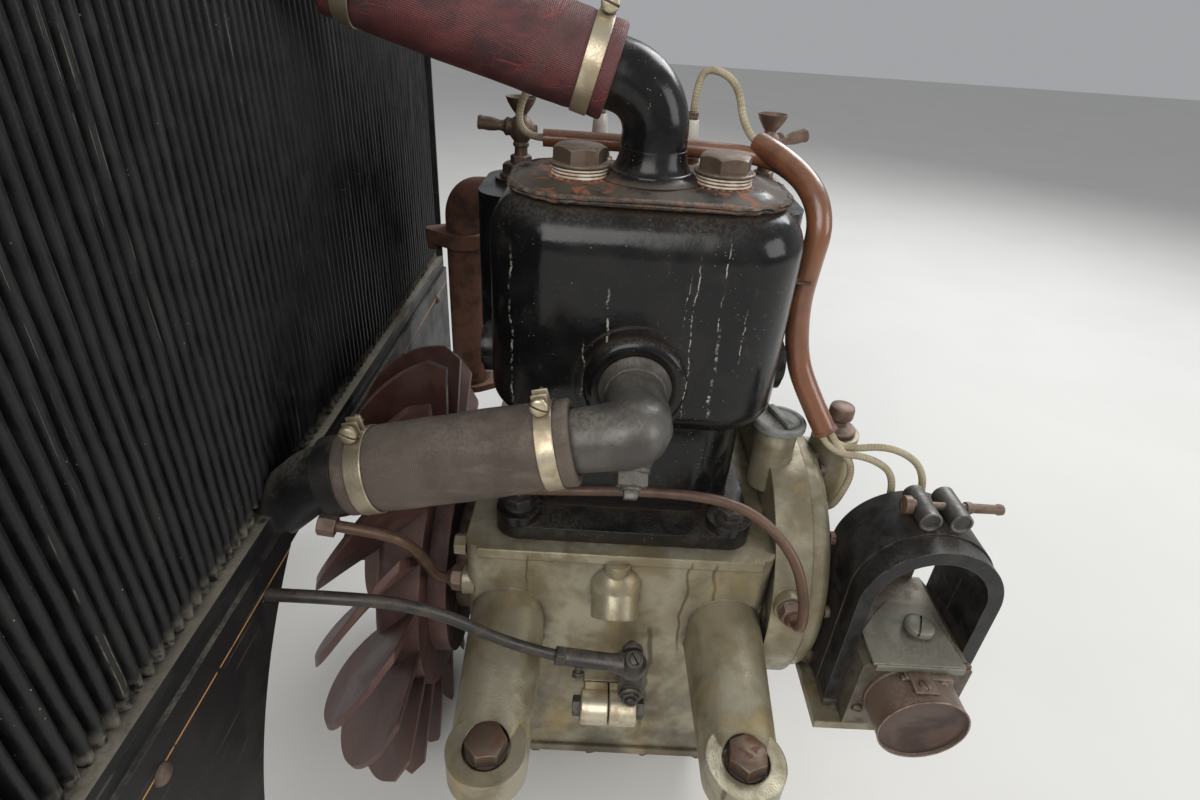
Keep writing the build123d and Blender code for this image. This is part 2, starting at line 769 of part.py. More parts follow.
def valve_side():
    """Builds the far side: valve caps, priming cups, spark plugs and the valve springs below the chest."""
    cap_z = chest_top_z + chest_boss
    outer = (-valve_outer_x, valve_outer_x)
    inner = (-valve_inner_x, valve_inner_x)
    with BuildPart() as caps:
        for x in outer + inner:
            bar((x, valve_y, cap_z), (0, 0, 1), valve_cap_radius, 3)
            hexagon((x, valve_y, cap_z + 3), (0, 0, 1), valve_cap_flats, valve_cap_height)
    store(caps, "valve_caps")

    seat = cap_z + 3 + valve_cap_height
    # Columns: name, place along the crankshaft, direction of the handle
    cups = (
        ("priming_cup_rear", -valve_outer_x, Vector(-1, -0.12, 0.1).normalized()),
        ("priming_cup_front", valve_outer_x, Vector(1, 0.3, 0.25).normalized()),
    )
    for name, x, heading in cups:
        with BuildPart() as cup:
            hexagon((x, valve_y, seat), (0, 0, 1), 15, 6)
            bar((x, valve_y, seat + 6), (0, 0, 1), 6, 12)
            with Locations((x, valve_y, seat + cup_body_z)):
                Sphere(cup_body_radius)
            bar(Vector(x, valve_y, seat + cup_body_z) - heading * 12, heading, 6.5, 26)
            bar(Vector(x, valve_y, seat + cup_body_z) + heading * 13, heading, 5, 20)
            with Locations((x, valve_y, seat + cup_body_z + 7)):
                Cone(5, cup_radius, cup_height, align=(Align.CENTER, Align.CENTER, Align.MIN))
            with Locations((x, valve_y, seat + cup_body_z + 11)):
                upright = (Align.CENTER, Align.CENTER, Align.MIN)
                Cone(2, cup_radius - 1.5, cup_height - 4, align=upright, mode=Mode.SUBTRACT)
        store(cup, name)

    with BuildPart() as plugs:
        for x in inner:
            hexagon((x, valve_y, seat), (0, 0, 1), 22, 9)
            bar((x, valve_y, seat + 9), (0, 0, 1), 9, 6)
            bar((x, valve_y, seat + 15), (0, 0, 1), 6.5, plug_terminal_z - seat - 20)
            bar((x, valve_y, plug_terminal_z - 5), (0, 0, 1), 4, 5)
    store(plugs, "spark_plugs")

    with BuildPart() as gear:
        for x in outer + inner:
            bar((x, valve_y, deck_z), (0, 0, 1), 10, 20)
            bar((x, valve_y, deck_z + 20), (0, 0, 1), 6, 12)
            bar((x, valve_y, deck_z + 32), (0, 0, 1), spring_radius, 3)
            bar((x, valve_y, deck_z + 35), (0, 0, 1), spring_radius - 1.5, chest_low_z - 14 - deck_z - 35)
    store(gear, "valve_springs")


def flange_pair(plane, thickness, hole):
    """Adds a two-bolt flange on a plane, its ears along the plane's own X."""
    with BuildSketch(plane) as outline:
        Circle(exhaust_flange_radius)
        with Locations((-exhaust_bolt_x, 0), (exhaust_bolt_x, 0)):
            Circle(exhaust_ear)
        make_hull()
        if hole:
            with Locations((-exhaust_bolt_x, 0), (exhaust_bolt_x, 0)):
                Circle(hole, mode=Mode.SUBTRACT)
    extrude(outline.sketch, amount=thickness)


def exhaust_and_inlet():
    """Builds the exhaust manifold and its down pipe, the inlet pipe and the carburettor."""
    port_face = chest_far_y + port_boss
    drop = (exhaust_drop_x, exhaust_drop_y)
    joint = exhaust_joint_z
    with BuildPart() as manifold:
        tube(
            (
                (valve_outer_x + port_radius + 3, exhaust_y, exhaust_z),
                (exhaust_drop_x + 52, exhaust_y, exhaust_z),
                (*drop, exhaust_z - 10),
                (*drop, joint + exhaust_flange),
            ),
            (38, 24), exhaust_radius,
        )
        for x in (-valve_outer_x, valve_outer_x):
            bar((x, port_face, exhaust_z), (0, 1, 0), port_radius, exhaust_y - port_face)
            face = Plane(origin=(x, port_face, exhaust_z), x_dir=(1, 0, 0), z_dir=(0, 1, 0))
            with BuildSketch(face) as ear:
                RectangleRounded(2 * port_radius + 14, 2 * port_radius + 10, 9)
            extrude(ear.sketch, amount=7)
        flange_pair(Plane(origin=(*drop, joint), x_dir=(1, 0, 0)), exhaust_flange, 0)
    store(manifold, "exhaust_manifold")

    with BuildPart() as pipe:
        flange_pair(Plane(origin=(*drop, joint - exhaust_flange), x_dir=(1, 0, 0)), exhaust_flange, 0)
        bar((*drop, exhaust_end_z), (0, 0, 1), exhaust_radius, joint - exhaust_end_z)
        flange_pair(Plane(origin=(*drop, exhaust_end_z), x_dir=(1, 0, 0)), exhaust_flange, 4.5)
        bar((*drop, exhaust_end_z - 1), (0, 0, 1), exhaust_radius - 3, 60, Mode.SUBTRACT)
        for x in (-exhaust_bolt_x, exhaust_bolt_x):
            hexagon((drop[0] + x, drop[1], joint - exhaust_flange - 7), (0, 0, 1), 13, 7)
    store(pipe, "exhaust_pipe")

    top = carburettor_z + 37
    with BuildPart() as inlet:
        bar((0, port_face, inlet_port_z), (0, 1, 0), port_radius + 6, 6)
        tube(
            ((0, port_face + 5, inlet_port_z), (0, carburettor_y, inlet_port_z), (0, carburettor_y, top + 5)),
            18, port_radius - 2,
        )
        pad(Plane(origin=(0, carburettor_y, top)), 27, 18, 8, 5)
    store(inlet, "inlet_pipe")

    with BuildPart() as carburettor:
        pad(Plane(origin=(0, carburettor_y, top - 5)), 27, 18, 8, 5)
        bar((0, carburettor_y, carburettor_z - 12), (0, 0, 1), 19, top - carburettor_z + 8)
        bar((0, carburettor_y, carburettor_z - 20), (0, 0, 1), 14, 10)
        bar((0, carburettor_y, carburettor_z + 2), (0, 1, 0), 16, 34)
        block((0, carburettor_y - 8, carburettor_z - 18), (50, carburettor_y + 8, carburettor_z - 4))
        bar((52, carburettor_y, carburettor_z - 22), (0, 0, 1), 25, 44)
        bar((52, carburettor_y, carburettor_z + 22), (0, 0, 1), 27, 5)
        bar((52, carburettor_y, carburettor_z + 27), (0, 0, 1), 5, 10)
    store(carburettor, "carburettor")


def horseshoe(depth, near_y, outer, inner, floor):
    """Adds a horseshoe arch that stands across the magneto's shaft."""
    with BuildSketch(Plane.XZ.offset(-near_y)) as arch:
        with Locations((magneto_x, magnet_spring_z)):
            Circle(outer)
        with Locations((magneto_x, (magnet_spring_z + floor) / 2)):
            Rectangle(2 * outer, magnet_spring_z - floor)
        with Locations((magneto_x, magnet_spring_z)):
            Circle(inner, mode=Mode.SUBTRACT)
        with Locations((magneto_x, (magnet_spring_z + floor) / 2)):
            Rectangle(2 * inner, magnet_spring_z - floor, mode=Mode.SUBTRACT)
    extrude(arch.sketch, amount=-depth)


def magneto():
    """Builds the magneto across the front of the timing case, on its own platform."""
    leg_floor = magneto_floor_z + magneto_foot
    inner = magnet_radius - magnet_bar
    with BuildPart() as magnets:
        for near_y in (magnet_near_y, magnet_near_y + magnet_depth + magnet_gap):
            horseshoe(magnet_depth, near_y, magnet_radius, inner, leg_floor)
    store(magnets, "magnets")

    band = magnet_radius + snug
    with BuildPart() as strap:
        horseshoe(strap_width, magnet_middle_y - strap_width / 2, band + strap_wall, band, leg_floor)
        for x in (-barrel_pin_x, barrel_pin_x):
            centre = (magneto_x + x, magnet_middle_y - barrel_pin_length / 2, barrel_pin_z)
            bar(centre, (0, 1, 0), barrel_pin_radius, barrel_pin_length)
        block(
            (magneto_x - 9, magnet_middle_y - strap_width / 2, magnet_spring_z + band),
            (magneto_x + 9, magnet_middle_y + strap_width / 2, barrel_pin_z - 4),
        )
        reach = barrel_pin_x + barrel_pin_radius
        bar((magneto_x - reach - 9, magnet_middle_y, barrel_pin_z + 2), (1, 0, 0), 4, 2 * reach + 43)
        bar((magneto_x - reach - 9, magnet_middle_y, barrel_pin_z + 2), (1, 0, 0), 7.5, 7)
    store(strap, "magnet_strap")

    half = inner - snug
    with BuildPart() as body:
        with BuildSketch(Plane.XZ.offset(-magneto_front_y)) as outline:
            with Locations((magneto_x, (magneto_floor_z + magneto_body_top_z) / 2)):
                Rectangle(2 * half, magneto_body_top_z - magneto_floor_z)
            chamfer(outline.vertices().group_by(Axis.Y)[-1], 9)
        extrude(outline.sketch, amount=magneto_front_y - magnet_far_y)
        block(
            (magneto_x - magnet_radius, magnet_near_y - 2, magneto_floor_z),
            (magneto_x + magnet_radius, magnet_far_y, leg_floor),
        )
    store(body, "magneto_body")

    with BuildPart() as cap:
        bar((magneto_x, magneto_front_y, magneto_z), (0, -1, 0), breaker_radius, breaker_length)
        fillet(cap.faces().sort_by(Axis.Y)[0].edges(), 2)
        recess = (magneto_x, magneto_front_y - breaker_length, magneto_z)
        bar(recess, (0, 1, 0), breaker_radius - 3, 2, Mode.SUBTRACT)
    store(cap, "breaker_cap")

    with BuildPart() as plate:
        with BuildSketch(Plane.XY.offset(magneto_body_top_z)) as outline:
            with BuildLine():
                Polyline(
                    (magneto_x - 38, magneto_front_y - 6),
                    (magneto_x + 30, magneto_front_y - 6),
                    (magneto_x + 24, magnet_near_y + 34),
                    (magneto_x - 10, magnet_near_y + 36),
                    (magneto_x - 38, magnet_near_y + 6),
                    close=True,
                )
            make_face()
        extrude(outline.sketch, amount=3)
        bar((magneto_x + 5, magnet_near_y + 8, magneto_body_top_z + 3), (0, 0, 1), 7, 4)
        bar((magneto_x + 5, magnet_near_y + 8, magneto_body_top_z + 7), (0, 0, 1), 11, 6)
        block(
            (magneto_x - 17, magneto_front_y - 12, magneto_z + breaker_radius + snug),
            (magneto_x + 21, magneto_front_y, magneto_body_top_z),
        )
    store(plate, "magneto_plate")

    with BuildPart() as bracket:
        block(
            (cover_front_x, magneto_front_y, magneto_floor_z - platform),
            (magneto_x + magnet_radius, magnet_far_y + 8, magneto_floor_z),
        )
        block((cover_front_x, -78, magneto_floor_z - 1), (cover_front_x + 8, -54, 14))
        for y in (-64, -50):
            with BuildSketch(Plane.XZ.offset(-y)) as rib:
                with BuildLine():
                    Polyline(
                        (cover_front_x, magneto_floor_z - platform),
                        (cover_front_x, magneto_floor_z - platform - 12),
                        (magneto_x + 10, magneto_floor_z - platform),
                        close=True,
                    )
                make_face()
            extrude(rib.sketch, amount=-6)
    store(bracket, "magneto_bracket")

    with BuildPart() as drive:
        bar((cover_front_x, drive_y, drive_z), (1, 0, 0), drive_radius + 3, 6)
        bar((cover_front_x, drive_y, drive_z), (1, 0, 0), drive_radius, magneto_x - 24 - cover_front_x)
        block((magneto_x - 26, magnet_far_y, -14), (magneto_x + 26, -dog_radius - sweep_gap - 1, 60))
        block((magneto_x - 9, magnet_far_y + 2, 58), (magneto_x + 9, magnet_far_y + 13, 66))
        bar((magneto_x, magnet_far_y + 2, distributor_z), (0, 1, 0), distributor_radius, 13)
        for x in (-12, 12):
            bar((magneto_x + x, magnet_far_y + 8, distributor_z + 20), (0, 0, 1), 5, distributor_radius - 14)
    store(drive, "magneto_drive")


def leads():
    """Builds the ignition conduit that rises past the block and the leads at its two ends."""
    # The conduit's route, from the front plug down past the block's front to the magneto
    route = (
        Vector(84, 67, 364), Vector(108, 34, 354), Vector(122, 4, 318), Vector(119, 0, 268),
        Vector(127, -3, 218), Vector(137, -11, 198), Vector(156, -21, 168),
    )
    branch_end = Vector(-78, 70, 358)
    with BuildPart() as conduit:
        tube(route, conduit_bend, conduit_radius)
        branch = (route[1] + Vector(4, -5, -4), Vector(92, 62, 354), Vector(70, 70, 356), branch_end)
        tube(branch, branch_bend, conduit_branch_radius)
        block((jacket_half_x, -12, 284), (route[3].X, 12, 294))
    store(conduit, "ignition_conduit")

    def ring(centre, heading, turn):
        """Gives a point inside the conduit's end, at an angle round its line."""
        plane = Plane(origin=centre, z_dir=heading)
        arm = conduit_radius * 0.58
        return plane.from_local_coords(Vector(arm * cos(radians(turn)), arm * sin(radians(turn)), 0))

    head_line = (route[1] - route[0]).normalized()
    mouth_line = (route[-1] - route[-2]).normalized()
    terminal = distributor_z + distributor_radius + 6
    first_terminal = Vector(magneto_x - 12, -43, terminal)
    second_terminal = Vector(magneto_x + 12, -43, terminal)
    earth_end = (Vector(cover_front_x + 10, -26, 96), Vector(cover_front_x + 4, -26, 96))
    # Columns: which plug, where the lead starts, the points between
    plug_leads = (
        (valve_inner_x, route[0], (Vector(46, 98, 404), Vector(66, 90, 404), route[0] - head_line * 16)),
        (-valve_inner_x, branch_end, (Vector(-52, 96, 402), Vector(-92, 82, 396), Vector(-100, 70, 358.3))),
    )
    # Columns: turn inside the conduit's mouth, the points to the terminal
    mouth_leads = (
        (90, (Vector(176, -36, 158), Vector(176, -34, 110), *earth_end)),
        (210, (Vector(190, -38, 158), Vector(magneto_x - 12, -43, 144), first_terminal)),
        (330, (Vector(206, -34, 168), Vector(magneto_x + 12, -43, 150), second_terminal)),
    )
    with BuildPart() as wires:
        for x, end, between in plug_leads:
            top = Vector(x, valve_y, plug_terminal_z)
            tube((top, top + Vector(0, 0, 12), *between, end), 5, lead_radius)
        for turn, points in mouth_leads:
            start = ring(route[-1], mouth_line, turn)
            tube((start, start + mouth_line * 9, *points), 3, lead_radius)
        bar((cover_front_x, -26, 96), (1, 0, 0), 6, 4)
    store(wires, "ignition_leads")


def small_pipes():
    """Builds the two oil pipes with their unions."""
    # Columns: name, union's seat, direction it faces, the pipe's further points, bend
    pipes = (
        (
            "oil_pipe_front", Vector(union_x, -timing_radius, union_z), Vector(0, -1, 0),
            (Vector(129, -137, 68), Vector(127, -127, 112), Vector(90, -104, 150), Vector(36, -96, 159),
             Vector(-136, -96, 150)),
            13,
        ),
        (
            "oil_pipe_rear", Vector(case_rear_x - 4, near_wall_y + 12, 52), Vector(-1, 0, 0),
            (Vector(-142, -96, 62), Vector(-144, -138, 140), Vector(-192, -142, 153)),
            14,
        ),
    )
    for name, seat, heading, points, bend in pipes:
        with BuildPart() as pipe:
            hexagon(seat, heading, union_flats, 9)
            bar(seat + heading * 9, heading, 6.5, 3)
            tube((seat + heading * 10, *points), bend, oil_pipe_radius)
            last = (points[-1] - points[-2]).normalized()
            hexagon(points[-1] - last * 4, last, 13, 11)
        store(pipe, name)


def controls():
    """Builds the governor's rod, its lever and the split bearing below them."""
    ball = Vector(12, near_wall_y - 45, 31)
    with BuildPart() as rod:
        points = (
            Vector(-262, rod_y, rod_z), Vector(-190, rod_y, rod_z), Vector(-146, -171, 118),
            Vector(-104, -159, 89), Vector(-84, -151, 62), Vector(-44, -143, 40), ball,
        )
        tube(points, 22, control_rod_radius)
        axis = (points[-1] - points[-2]).normalized()
        hexagon(points[-2], axis, 13, 7)
        bar(points[-2] + axis * 6, axis, 6.5, (ball - points[-2]).length - 12)
        with Locations(ball):
            Sphere(9)
        bar(ball, (0, 1, 0), 3.5, 20)
    store(rod, "control_rod")

    with BuildPart() as lever:
        plane = Plane.XZ.offset(-near_wall_y + 30)
        with BuildSketch(plane) as outline:
            with Locations((lever_x, lever_z)):
                Circle(10)
            with Locations((ball.X, ball.Z)):
                Circle(8)
            make_hull()
            with Locations((ball.X, ball.Z)):
                Circle(3.5 + snug, mode=Mode.SUBTRACT)
        extrude(outline.sketch, amount=5)
        bar((lever_x, near_wall_y - 10, lever_z), (0, -1, 0), 5.5, 30)
        hexagon((lever_x, near_wall_y - 35, lever_z), (0, -1, 0), 13, 6)
    store(lever, "governor_lever")

    with BuildPart() as bearing:
        bearing_y = near_wall_y - 31
        bar((-24, bearing_y, -40), (1, 0, 0), 14, 44)
        block((-22, bearing_y, -52), (18, near_wall_y - 16, -28))
        hexagon((-24, bearing_y, -40), (-1, 0, 0), 14, 7)
        hexagon((20, bearing_y, -40), (1, 0, 0), 14, 7)
    store(bearing, "split_bearing")

    with BuildPart() as bolts:
        for x in (-arm_x, arm_x):
            for y in (-arm_y, arm_y):
                bar((x, y, pad_height), (0, 0, 1), bolt_flats / 2 + 2, 2)
                hexagon((x, y, pad_height + 2), (0, 0, 1), bolt_flats, bolt_head, 15)
                bar((x, y, -bolt_reach), (0, 0, 1), bolt_radius, bolt_reach)
                bar((x, y, 0), (0, 0, 1), bolt_radius + bolt_shoulder, pad_height)
    store(bolts, "arm_bolts")


crankcase()
sump()
timing_case()
cylinder_block()
jacket_cover()
water_pipes()
hoses()
radiator()
turning_parts()
valve_side()
exhaust_and_inlet()
magneto()
leads()
small_pipes()
controls()
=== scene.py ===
"""Dresses the twin-cylinder engine and its dash radiator: finer pieces, finishes, lamps and camera."""
import json
import logging
import math
from collections.abc import Callable, Iterable, Iterator, Sequence
from contextlib import contextmanager
from dataclasses import dataclass
from enum import Enum

import bmesh
import bpy
from mathutils import Matrix, Vector, noise


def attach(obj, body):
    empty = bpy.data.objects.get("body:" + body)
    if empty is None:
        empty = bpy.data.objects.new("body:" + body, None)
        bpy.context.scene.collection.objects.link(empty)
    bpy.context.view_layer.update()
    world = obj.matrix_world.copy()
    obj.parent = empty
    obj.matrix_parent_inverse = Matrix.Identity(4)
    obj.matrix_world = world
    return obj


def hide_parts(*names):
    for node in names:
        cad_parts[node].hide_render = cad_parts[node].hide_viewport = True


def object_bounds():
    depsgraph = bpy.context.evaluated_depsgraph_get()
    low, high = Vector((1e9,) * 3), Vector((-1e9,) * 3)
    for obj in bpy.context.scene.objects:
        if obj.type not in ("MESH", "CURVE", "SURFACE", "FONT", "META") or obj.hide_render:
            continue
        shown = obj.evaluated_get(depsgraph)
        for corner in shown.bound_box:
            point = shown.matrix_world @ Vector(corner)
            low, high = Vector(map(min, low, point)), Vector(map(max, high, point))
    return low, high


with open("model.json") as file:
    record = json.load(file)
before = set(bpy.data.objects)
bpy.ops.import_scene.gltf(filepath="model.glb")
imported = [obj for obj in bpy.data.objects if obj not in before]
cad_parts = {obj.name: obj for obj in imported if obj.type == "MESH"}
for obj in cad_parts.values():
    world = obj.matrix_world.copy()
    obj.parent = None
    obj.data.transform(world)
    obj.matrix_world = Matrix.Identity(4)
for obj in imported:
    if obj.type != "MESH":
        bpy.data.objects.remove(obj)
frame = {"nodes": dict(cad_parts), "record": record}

log = logging.getLogger("engine")
CAD_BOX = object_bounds()
SLOTS = {entry["slot"] for entry in frame["record"]["materials"]}
MM = 0.001
Colour = tuple[float, float, float]


# Shader building


class Wire:
    """One shader value, on which arithmetic adds Math nodes."""

    def __init__(self, paint: "Paint", socket: bpy.types.NodeSocket) -> None:
        """Keeps the paint that the value belongs to, and its socket."""
        self.paint, self.socket = paint, socket

    def _join(self, operation: str, *values: "Wire | float") -> "Wire":
        """Adds one Math node."""
        return self.paint.node("ShaderNodeMath", {"operation": operation}, dict(enumerate(values)))

    def __add__(self, other: "Wire | float") -> "Wire":
        """Adds."""
        return self._join("ADD", self, other)

    def __radd__(self, other: float) -> "Wire":
        """Adds to a number."""
        return self._join("ADD", other, self)

    def __sub__(self, other: "Wire | float") -> "Wire":
        """Subtracts."""
        return self._join("SUBTRACT", self, other)

    def __rsub__(self, other: float) -> "Wire":
        """Subtracts from a number."""
        return self._join("SUBTRACT", other, self)

    def __mul__(self, other: "Wire | float") -> "Wire":
        """Multiplies."""
        return self._join("MULTIPLY", self, other)

    def __rmul__(self, other: float) -> "Wire":
        """Multiplies a number."""
        return self._join("MULTIPLY", other, self)

    def sine(self) -> "Wire":
        """Gives the sine."""
        return self._join("SINE", self)

    def size(self) -> "Wire":
        """Gives the value without its sign."""
        return self._join("ABSOLUTE", self)

    def rise(self, low: float, high: float) -> "Wire":
        """Gives a smooth step that is 0 at low and 1 at high, which may lie below low."""
        span = {"From Min": min(low, high), "From Max": max(low, high)}
        if low > high:
            span.update({"To Min": 1.0, "To Max": 0.0})
        settings = {"interpolation_type": "SMOOTHSTEP", "clamp": True}
        return self.paint.node("ShaderNodeMapRange", settings, {"Value": self, **span})


class Paint:
    """A material while it is made: a base, the layers laid over it, and its relief."""

    def __init__(self, name: str, colour: Colour, roughness: float, metallic: float = 0.0) -> None:
        """Starts a material with one even surface."""
        self.material = bpy.data.materials.new(name)
        self.material.use_nodes = True
        self.tree = self.material.node_tree
        self.tree.nodes.clear()
        self.shader = self.tree.nodes.new("ShaderNodeBsdfPrincipled")
        output = self.tree.nodes.new("ShaderNodeOutputMaterial")
        self.tree.links.new(self.shader.outputs[0], output.inputs[0])
        self.look: dict[str, Wire | float | Colour] = {
            "Base Color": colour, "Roughness": roughness, "Metallic": metallic,
        }
        self.normal: Wire | None = None
        self._spot: Wire | None = None
        self._face: Wire | None = None

    def node(
        self,
        kind: str,
        settings: dict[str, object] | None = None,
        sockets: dict[str | int, object] | None = None,
        out: str | int = 0,
    ) -> Wire:
        """Adds any node.

        Args:
            kind: The node's type.
            settings: Its properties, set first.
            sockets: Values or links of its inputs, by name or number.
            out: The output that is wanted.

        Returns:
            The output, as a value that can be reckoned with.
        """
        made = self.tree.nodes.new(kind)
        for key, value in (settings or {}).items():
            setattr(made, key, value)
        for key, value in (sockets or {}).items():
            self.feed(made.inputs[key], value)
        return Wire(self, made.outputs[out])

    def feed(self, socket: bpy.types.NodeSocket, value: object) -> None:
        """Sets a socket to a value, or links it."""
        if isinstance(value, Wire):
            self.tree.links.new(value.socket, socket)
        elif isinstance(value, tuple) and socket.type == "RGBA":
            socket.default_value = (*value, 1.0)
        else:
            socket.default_value = value

    @property
    def spot(self) -> Wire:
        """The place on the object, in metres."""
        if self._spot is None:
            self._spot = self.node("ShaderNodeTexCoord", out="Object")
        return self._spot

    @property
    def face(self) -> Wire:
        """The way the surface faces, in the object's own frame."""
        if self._face is None:
            self._face = self.node("ShaderNodeTexCoord", out="Normal")
        return self._face

    def uv(self) -> Wire:
        """The piece's own unrolled surface, in metres."""
        return self.node("ShaderNodeTexCoord", out="UV")

    def split(self, vector: Wire, axis: str) -> Wire:
        """Gives one part of a vector."""
        return self.node("ShaderNodeSeparateXYZ", None, {0: vector}, axis)

    def scaled(self, factors: Colour, vector: Wire | None = None, turn: Colour = (0.0, 0.0, 0.0)) -> Wire:
        """Stretches and turns a pattern's place."""
        sockets = {"Vector": vector or self.spot, "Scale": factors, "Rotation": turn}
        return self.node("ShaderNodeMapping", None, sockets)

    def noise(
        self, scale: float, detail: float = 4.0, vector: Wire | None = None, rough: float = 0.55,
        warp: float = 0.0,
    ) -> Wire:
        """Gives cloudy noise from 0 to 1."""
        sockets = {
            "Vector": vector or self.spot, "Scale": scale, "Detail": detail, "Roughness": rough,
            "Distortion": warp,
        }
        return self.node("ShaderNodeTexNoise", None, sockets)

    def cells(self, scale: float, vector: Wire | None = None, feature: str = "F1") -> Wire:
        """Gives the distance to scattered points, or to the lines between them."""
        return self.node(
            "ShaderNodeTexVoronoi", {"feature": feature}, {"Vector": vector or self.spot, "Scale": scale},
            "Distance",
        )

    def blend(self, share: Wire | float, first: object, second: object) -> Wire:
        """Mixes two colours."""
        sockets = {0: share, 6: first, 7: second}
        return self.node("ShaderNodeMix", {"data_type": "RGBA"}, sockets, 2)

    def shade(self, share: Wire, first: object, second: object) -> Wire:
        """Mixes two numbers."""
        return self.node("ShaderNodeMix", {"data_type": "FLOAT"}, {0: share, 2: first, 3: second}, 0)

    def upward(self, low: float = 0.3, high: float = 0.9) -> Wire:
        """Gives 1 where the surface faces up."""
        return self.split(self.face, "Z").rise(low, high)

    def upright(self) -> Wire:
        """Gives 1 where the surface stands upright."""
        return self.split(self.face, "Z").size().rise(0.7, 0.35)

    def rounded(self, radius: float) -> Wire:
        """Gives a normal that rounds the edges by a radius."""
        return self.node("ShaderNodeBevel", {"samples": 4}, {"Radius": radius})

    def edges(self, radius: float) -> Wire:
        """Gives 1 along edges and 0 on flats."""
        flat = self.node("ShaderNodeNewGeometry", out="Normal")
        dot = {"operation": "DOT_PRODUCT"}
        return (
            1.0 - self.node("ShaderNodeVectorMath", dot, {0: self.rounded(radius), 1: flat}, "Value")
        ).rise(0.01, 0.12)

    def corners(self, reach: float) -> Wire:
        """Gives 1 in hollows and where pieces meet, where shade falls, by ambient occlusion."""
        return self.node(
            "ShaderNodeAmbientOcclusion", {"samples": 6}, {"Distance": reach}, "AO",
        ).rise(0.85, 0.3)

    def over(
        self, mask: Wire, colour: Colour | Wire | None = None, roughness: float | None = None,
        metallic: float | None = None,
    ) -> None:
        """Lays a layer over what is there.

        Args:
            mask: Where the layer covers, from 0 to 1.
            colour: Its colour, if it changes that.
            roughness: Its roughness, if it changes that.
            metallic: Its metallic value, if it changes that.
        """
        if colour is not None:
            self.look["Base Color"] = self.blend(mask, self.look["Base Color"], colour)
        if roughness is not None:
            self.look["Roughness"] = self.shade(mask, self.look["Roughness"], roughness)
        if metallic is not None:
            self.look["Metallic"] = self.shade(mask, self.look["Metallic"], metallic)

    def relief(self, height: Wire, depth: float, strength: float = 1.0) -> None:
        """Adds a bump of a depth in metres to the relief."""
        sockets: dict[str | int, object] = {"Height": height, "Distance": depth, "Strength": strength}
        if self.normal is not None:
            sockets["Normal"] = self.normal
        self.normal = self.node("ShaderNodeBump", None, sockets)

    def done(self, **constants: float) -> bpy.types.Material:
        """Feeds the shader and gives the finished material."""
        for key, value in self.look.items():
            self.feed(self.shader.inputs[key], value)
        for key, value in constants.items():
            self.shader.inputs[key.replace("_", " ")].default_value = value
        if self.normal is not None:
            self.feed(self.shader.inputs["Normal"], self.normal)
        return self.material


# Finishes


@dataclass(frozen=True)
class Finish:
    """A weathered surface, described by what lies on it."""

    name: str
    colour: Colour
    mottle: Colour
    roughness: float = 0.45
    mottle_roughness: float = 0.6
    metallic: float = 0.0
    mottle_scale: float = 35.0
    grain_scale: float = 700.0
    grain_depth: float = 0.00012
    swell_scale: float = 28.0
    swell_depth: float = 0.0
    soft_edge: float = 0.0007
    worn: Colour | None = None
    worn_share: float = 0.6
    # Colour laid in hollows and where pieces meet: partly grime, partly painted shade.
    grime_and_shade: Colour | None = None
    grime_and_shade_reach: float = 0.014
    dust: Colour | None = None
    dust_share: float = 0.5
    coat: float = 0.0
    specular: float = 0.5

    def start(self) -> Paint:
        """Makes the base with its mottling, grain and soft edges."""
        paint = Paint(self.name, self.colour, self.roughness, self.metallic)
        paint.over(
            paint.noise(self.mottle_scale, 6.0, warp=0.4).rise(0.42, 0.66), self.mottle,
            self.mottle_roughness,
        )
        if self.soft_edge:
            paint.normal = paint.rounded(self.soft_edge)
        if self.swell_depth:
            paint.relief(paint.noise(self.swell_scale, 2.0), self.swell_depth)
        paint.relief(paint.noise(self.grain_scale, 3.0), self.grain_depth)
        return paint

    def weather(self, paint: Paint) -> None:
        """Lays worn edges, grime with painted shade in the hollows and where pieces meet, and dust over it.
        """
        patches = paint.noise(90.0, 5.0)
        if self.worn is not None:
            mask = paint.edges(0.0012) * patches.rise(0.40, 0.58) * self.worn_share
            paint.over(mask, self.worn, 0.38, 0.7)
        # Grime and painted shade: ambient occlusion darkens hollows and the joins between pieces, where
        # shade falls.
        if self.grime_and_shade is not None:
            paint.over(paint.corners(self.grime_and_shade_reach) * patches.rise(0.25, 0.55), self.grime_and_shade, 0.75, 0.0)
        if self.dust is not None:
            drift = paint.noise(22.0, 6.0).rise(0.35, 0.62)
            drift = drift * (0.4 + 0.6 * paint.noise(420.0, 2.0).rise(0.4, 0.6))
            paint.over(paint.upward() * drift * self.dust_share, self.dust, 0.9, 0.0)

    def detail(self, paint: Paint) -> None:
        """Adds what only this finish has, before it is weathered."""

    def material(self) -> bpy.types.Material:
        """Makes the material."""
        paint = self.start()
        self.detail(paint)
        self.weather(paint)
        coat = {"Coat_Weight": self.coat, "Coat_Roughness": 0.12} if self.coat else {}
        return paint.done(Specular_IOR_Level=self.specular, **coat)


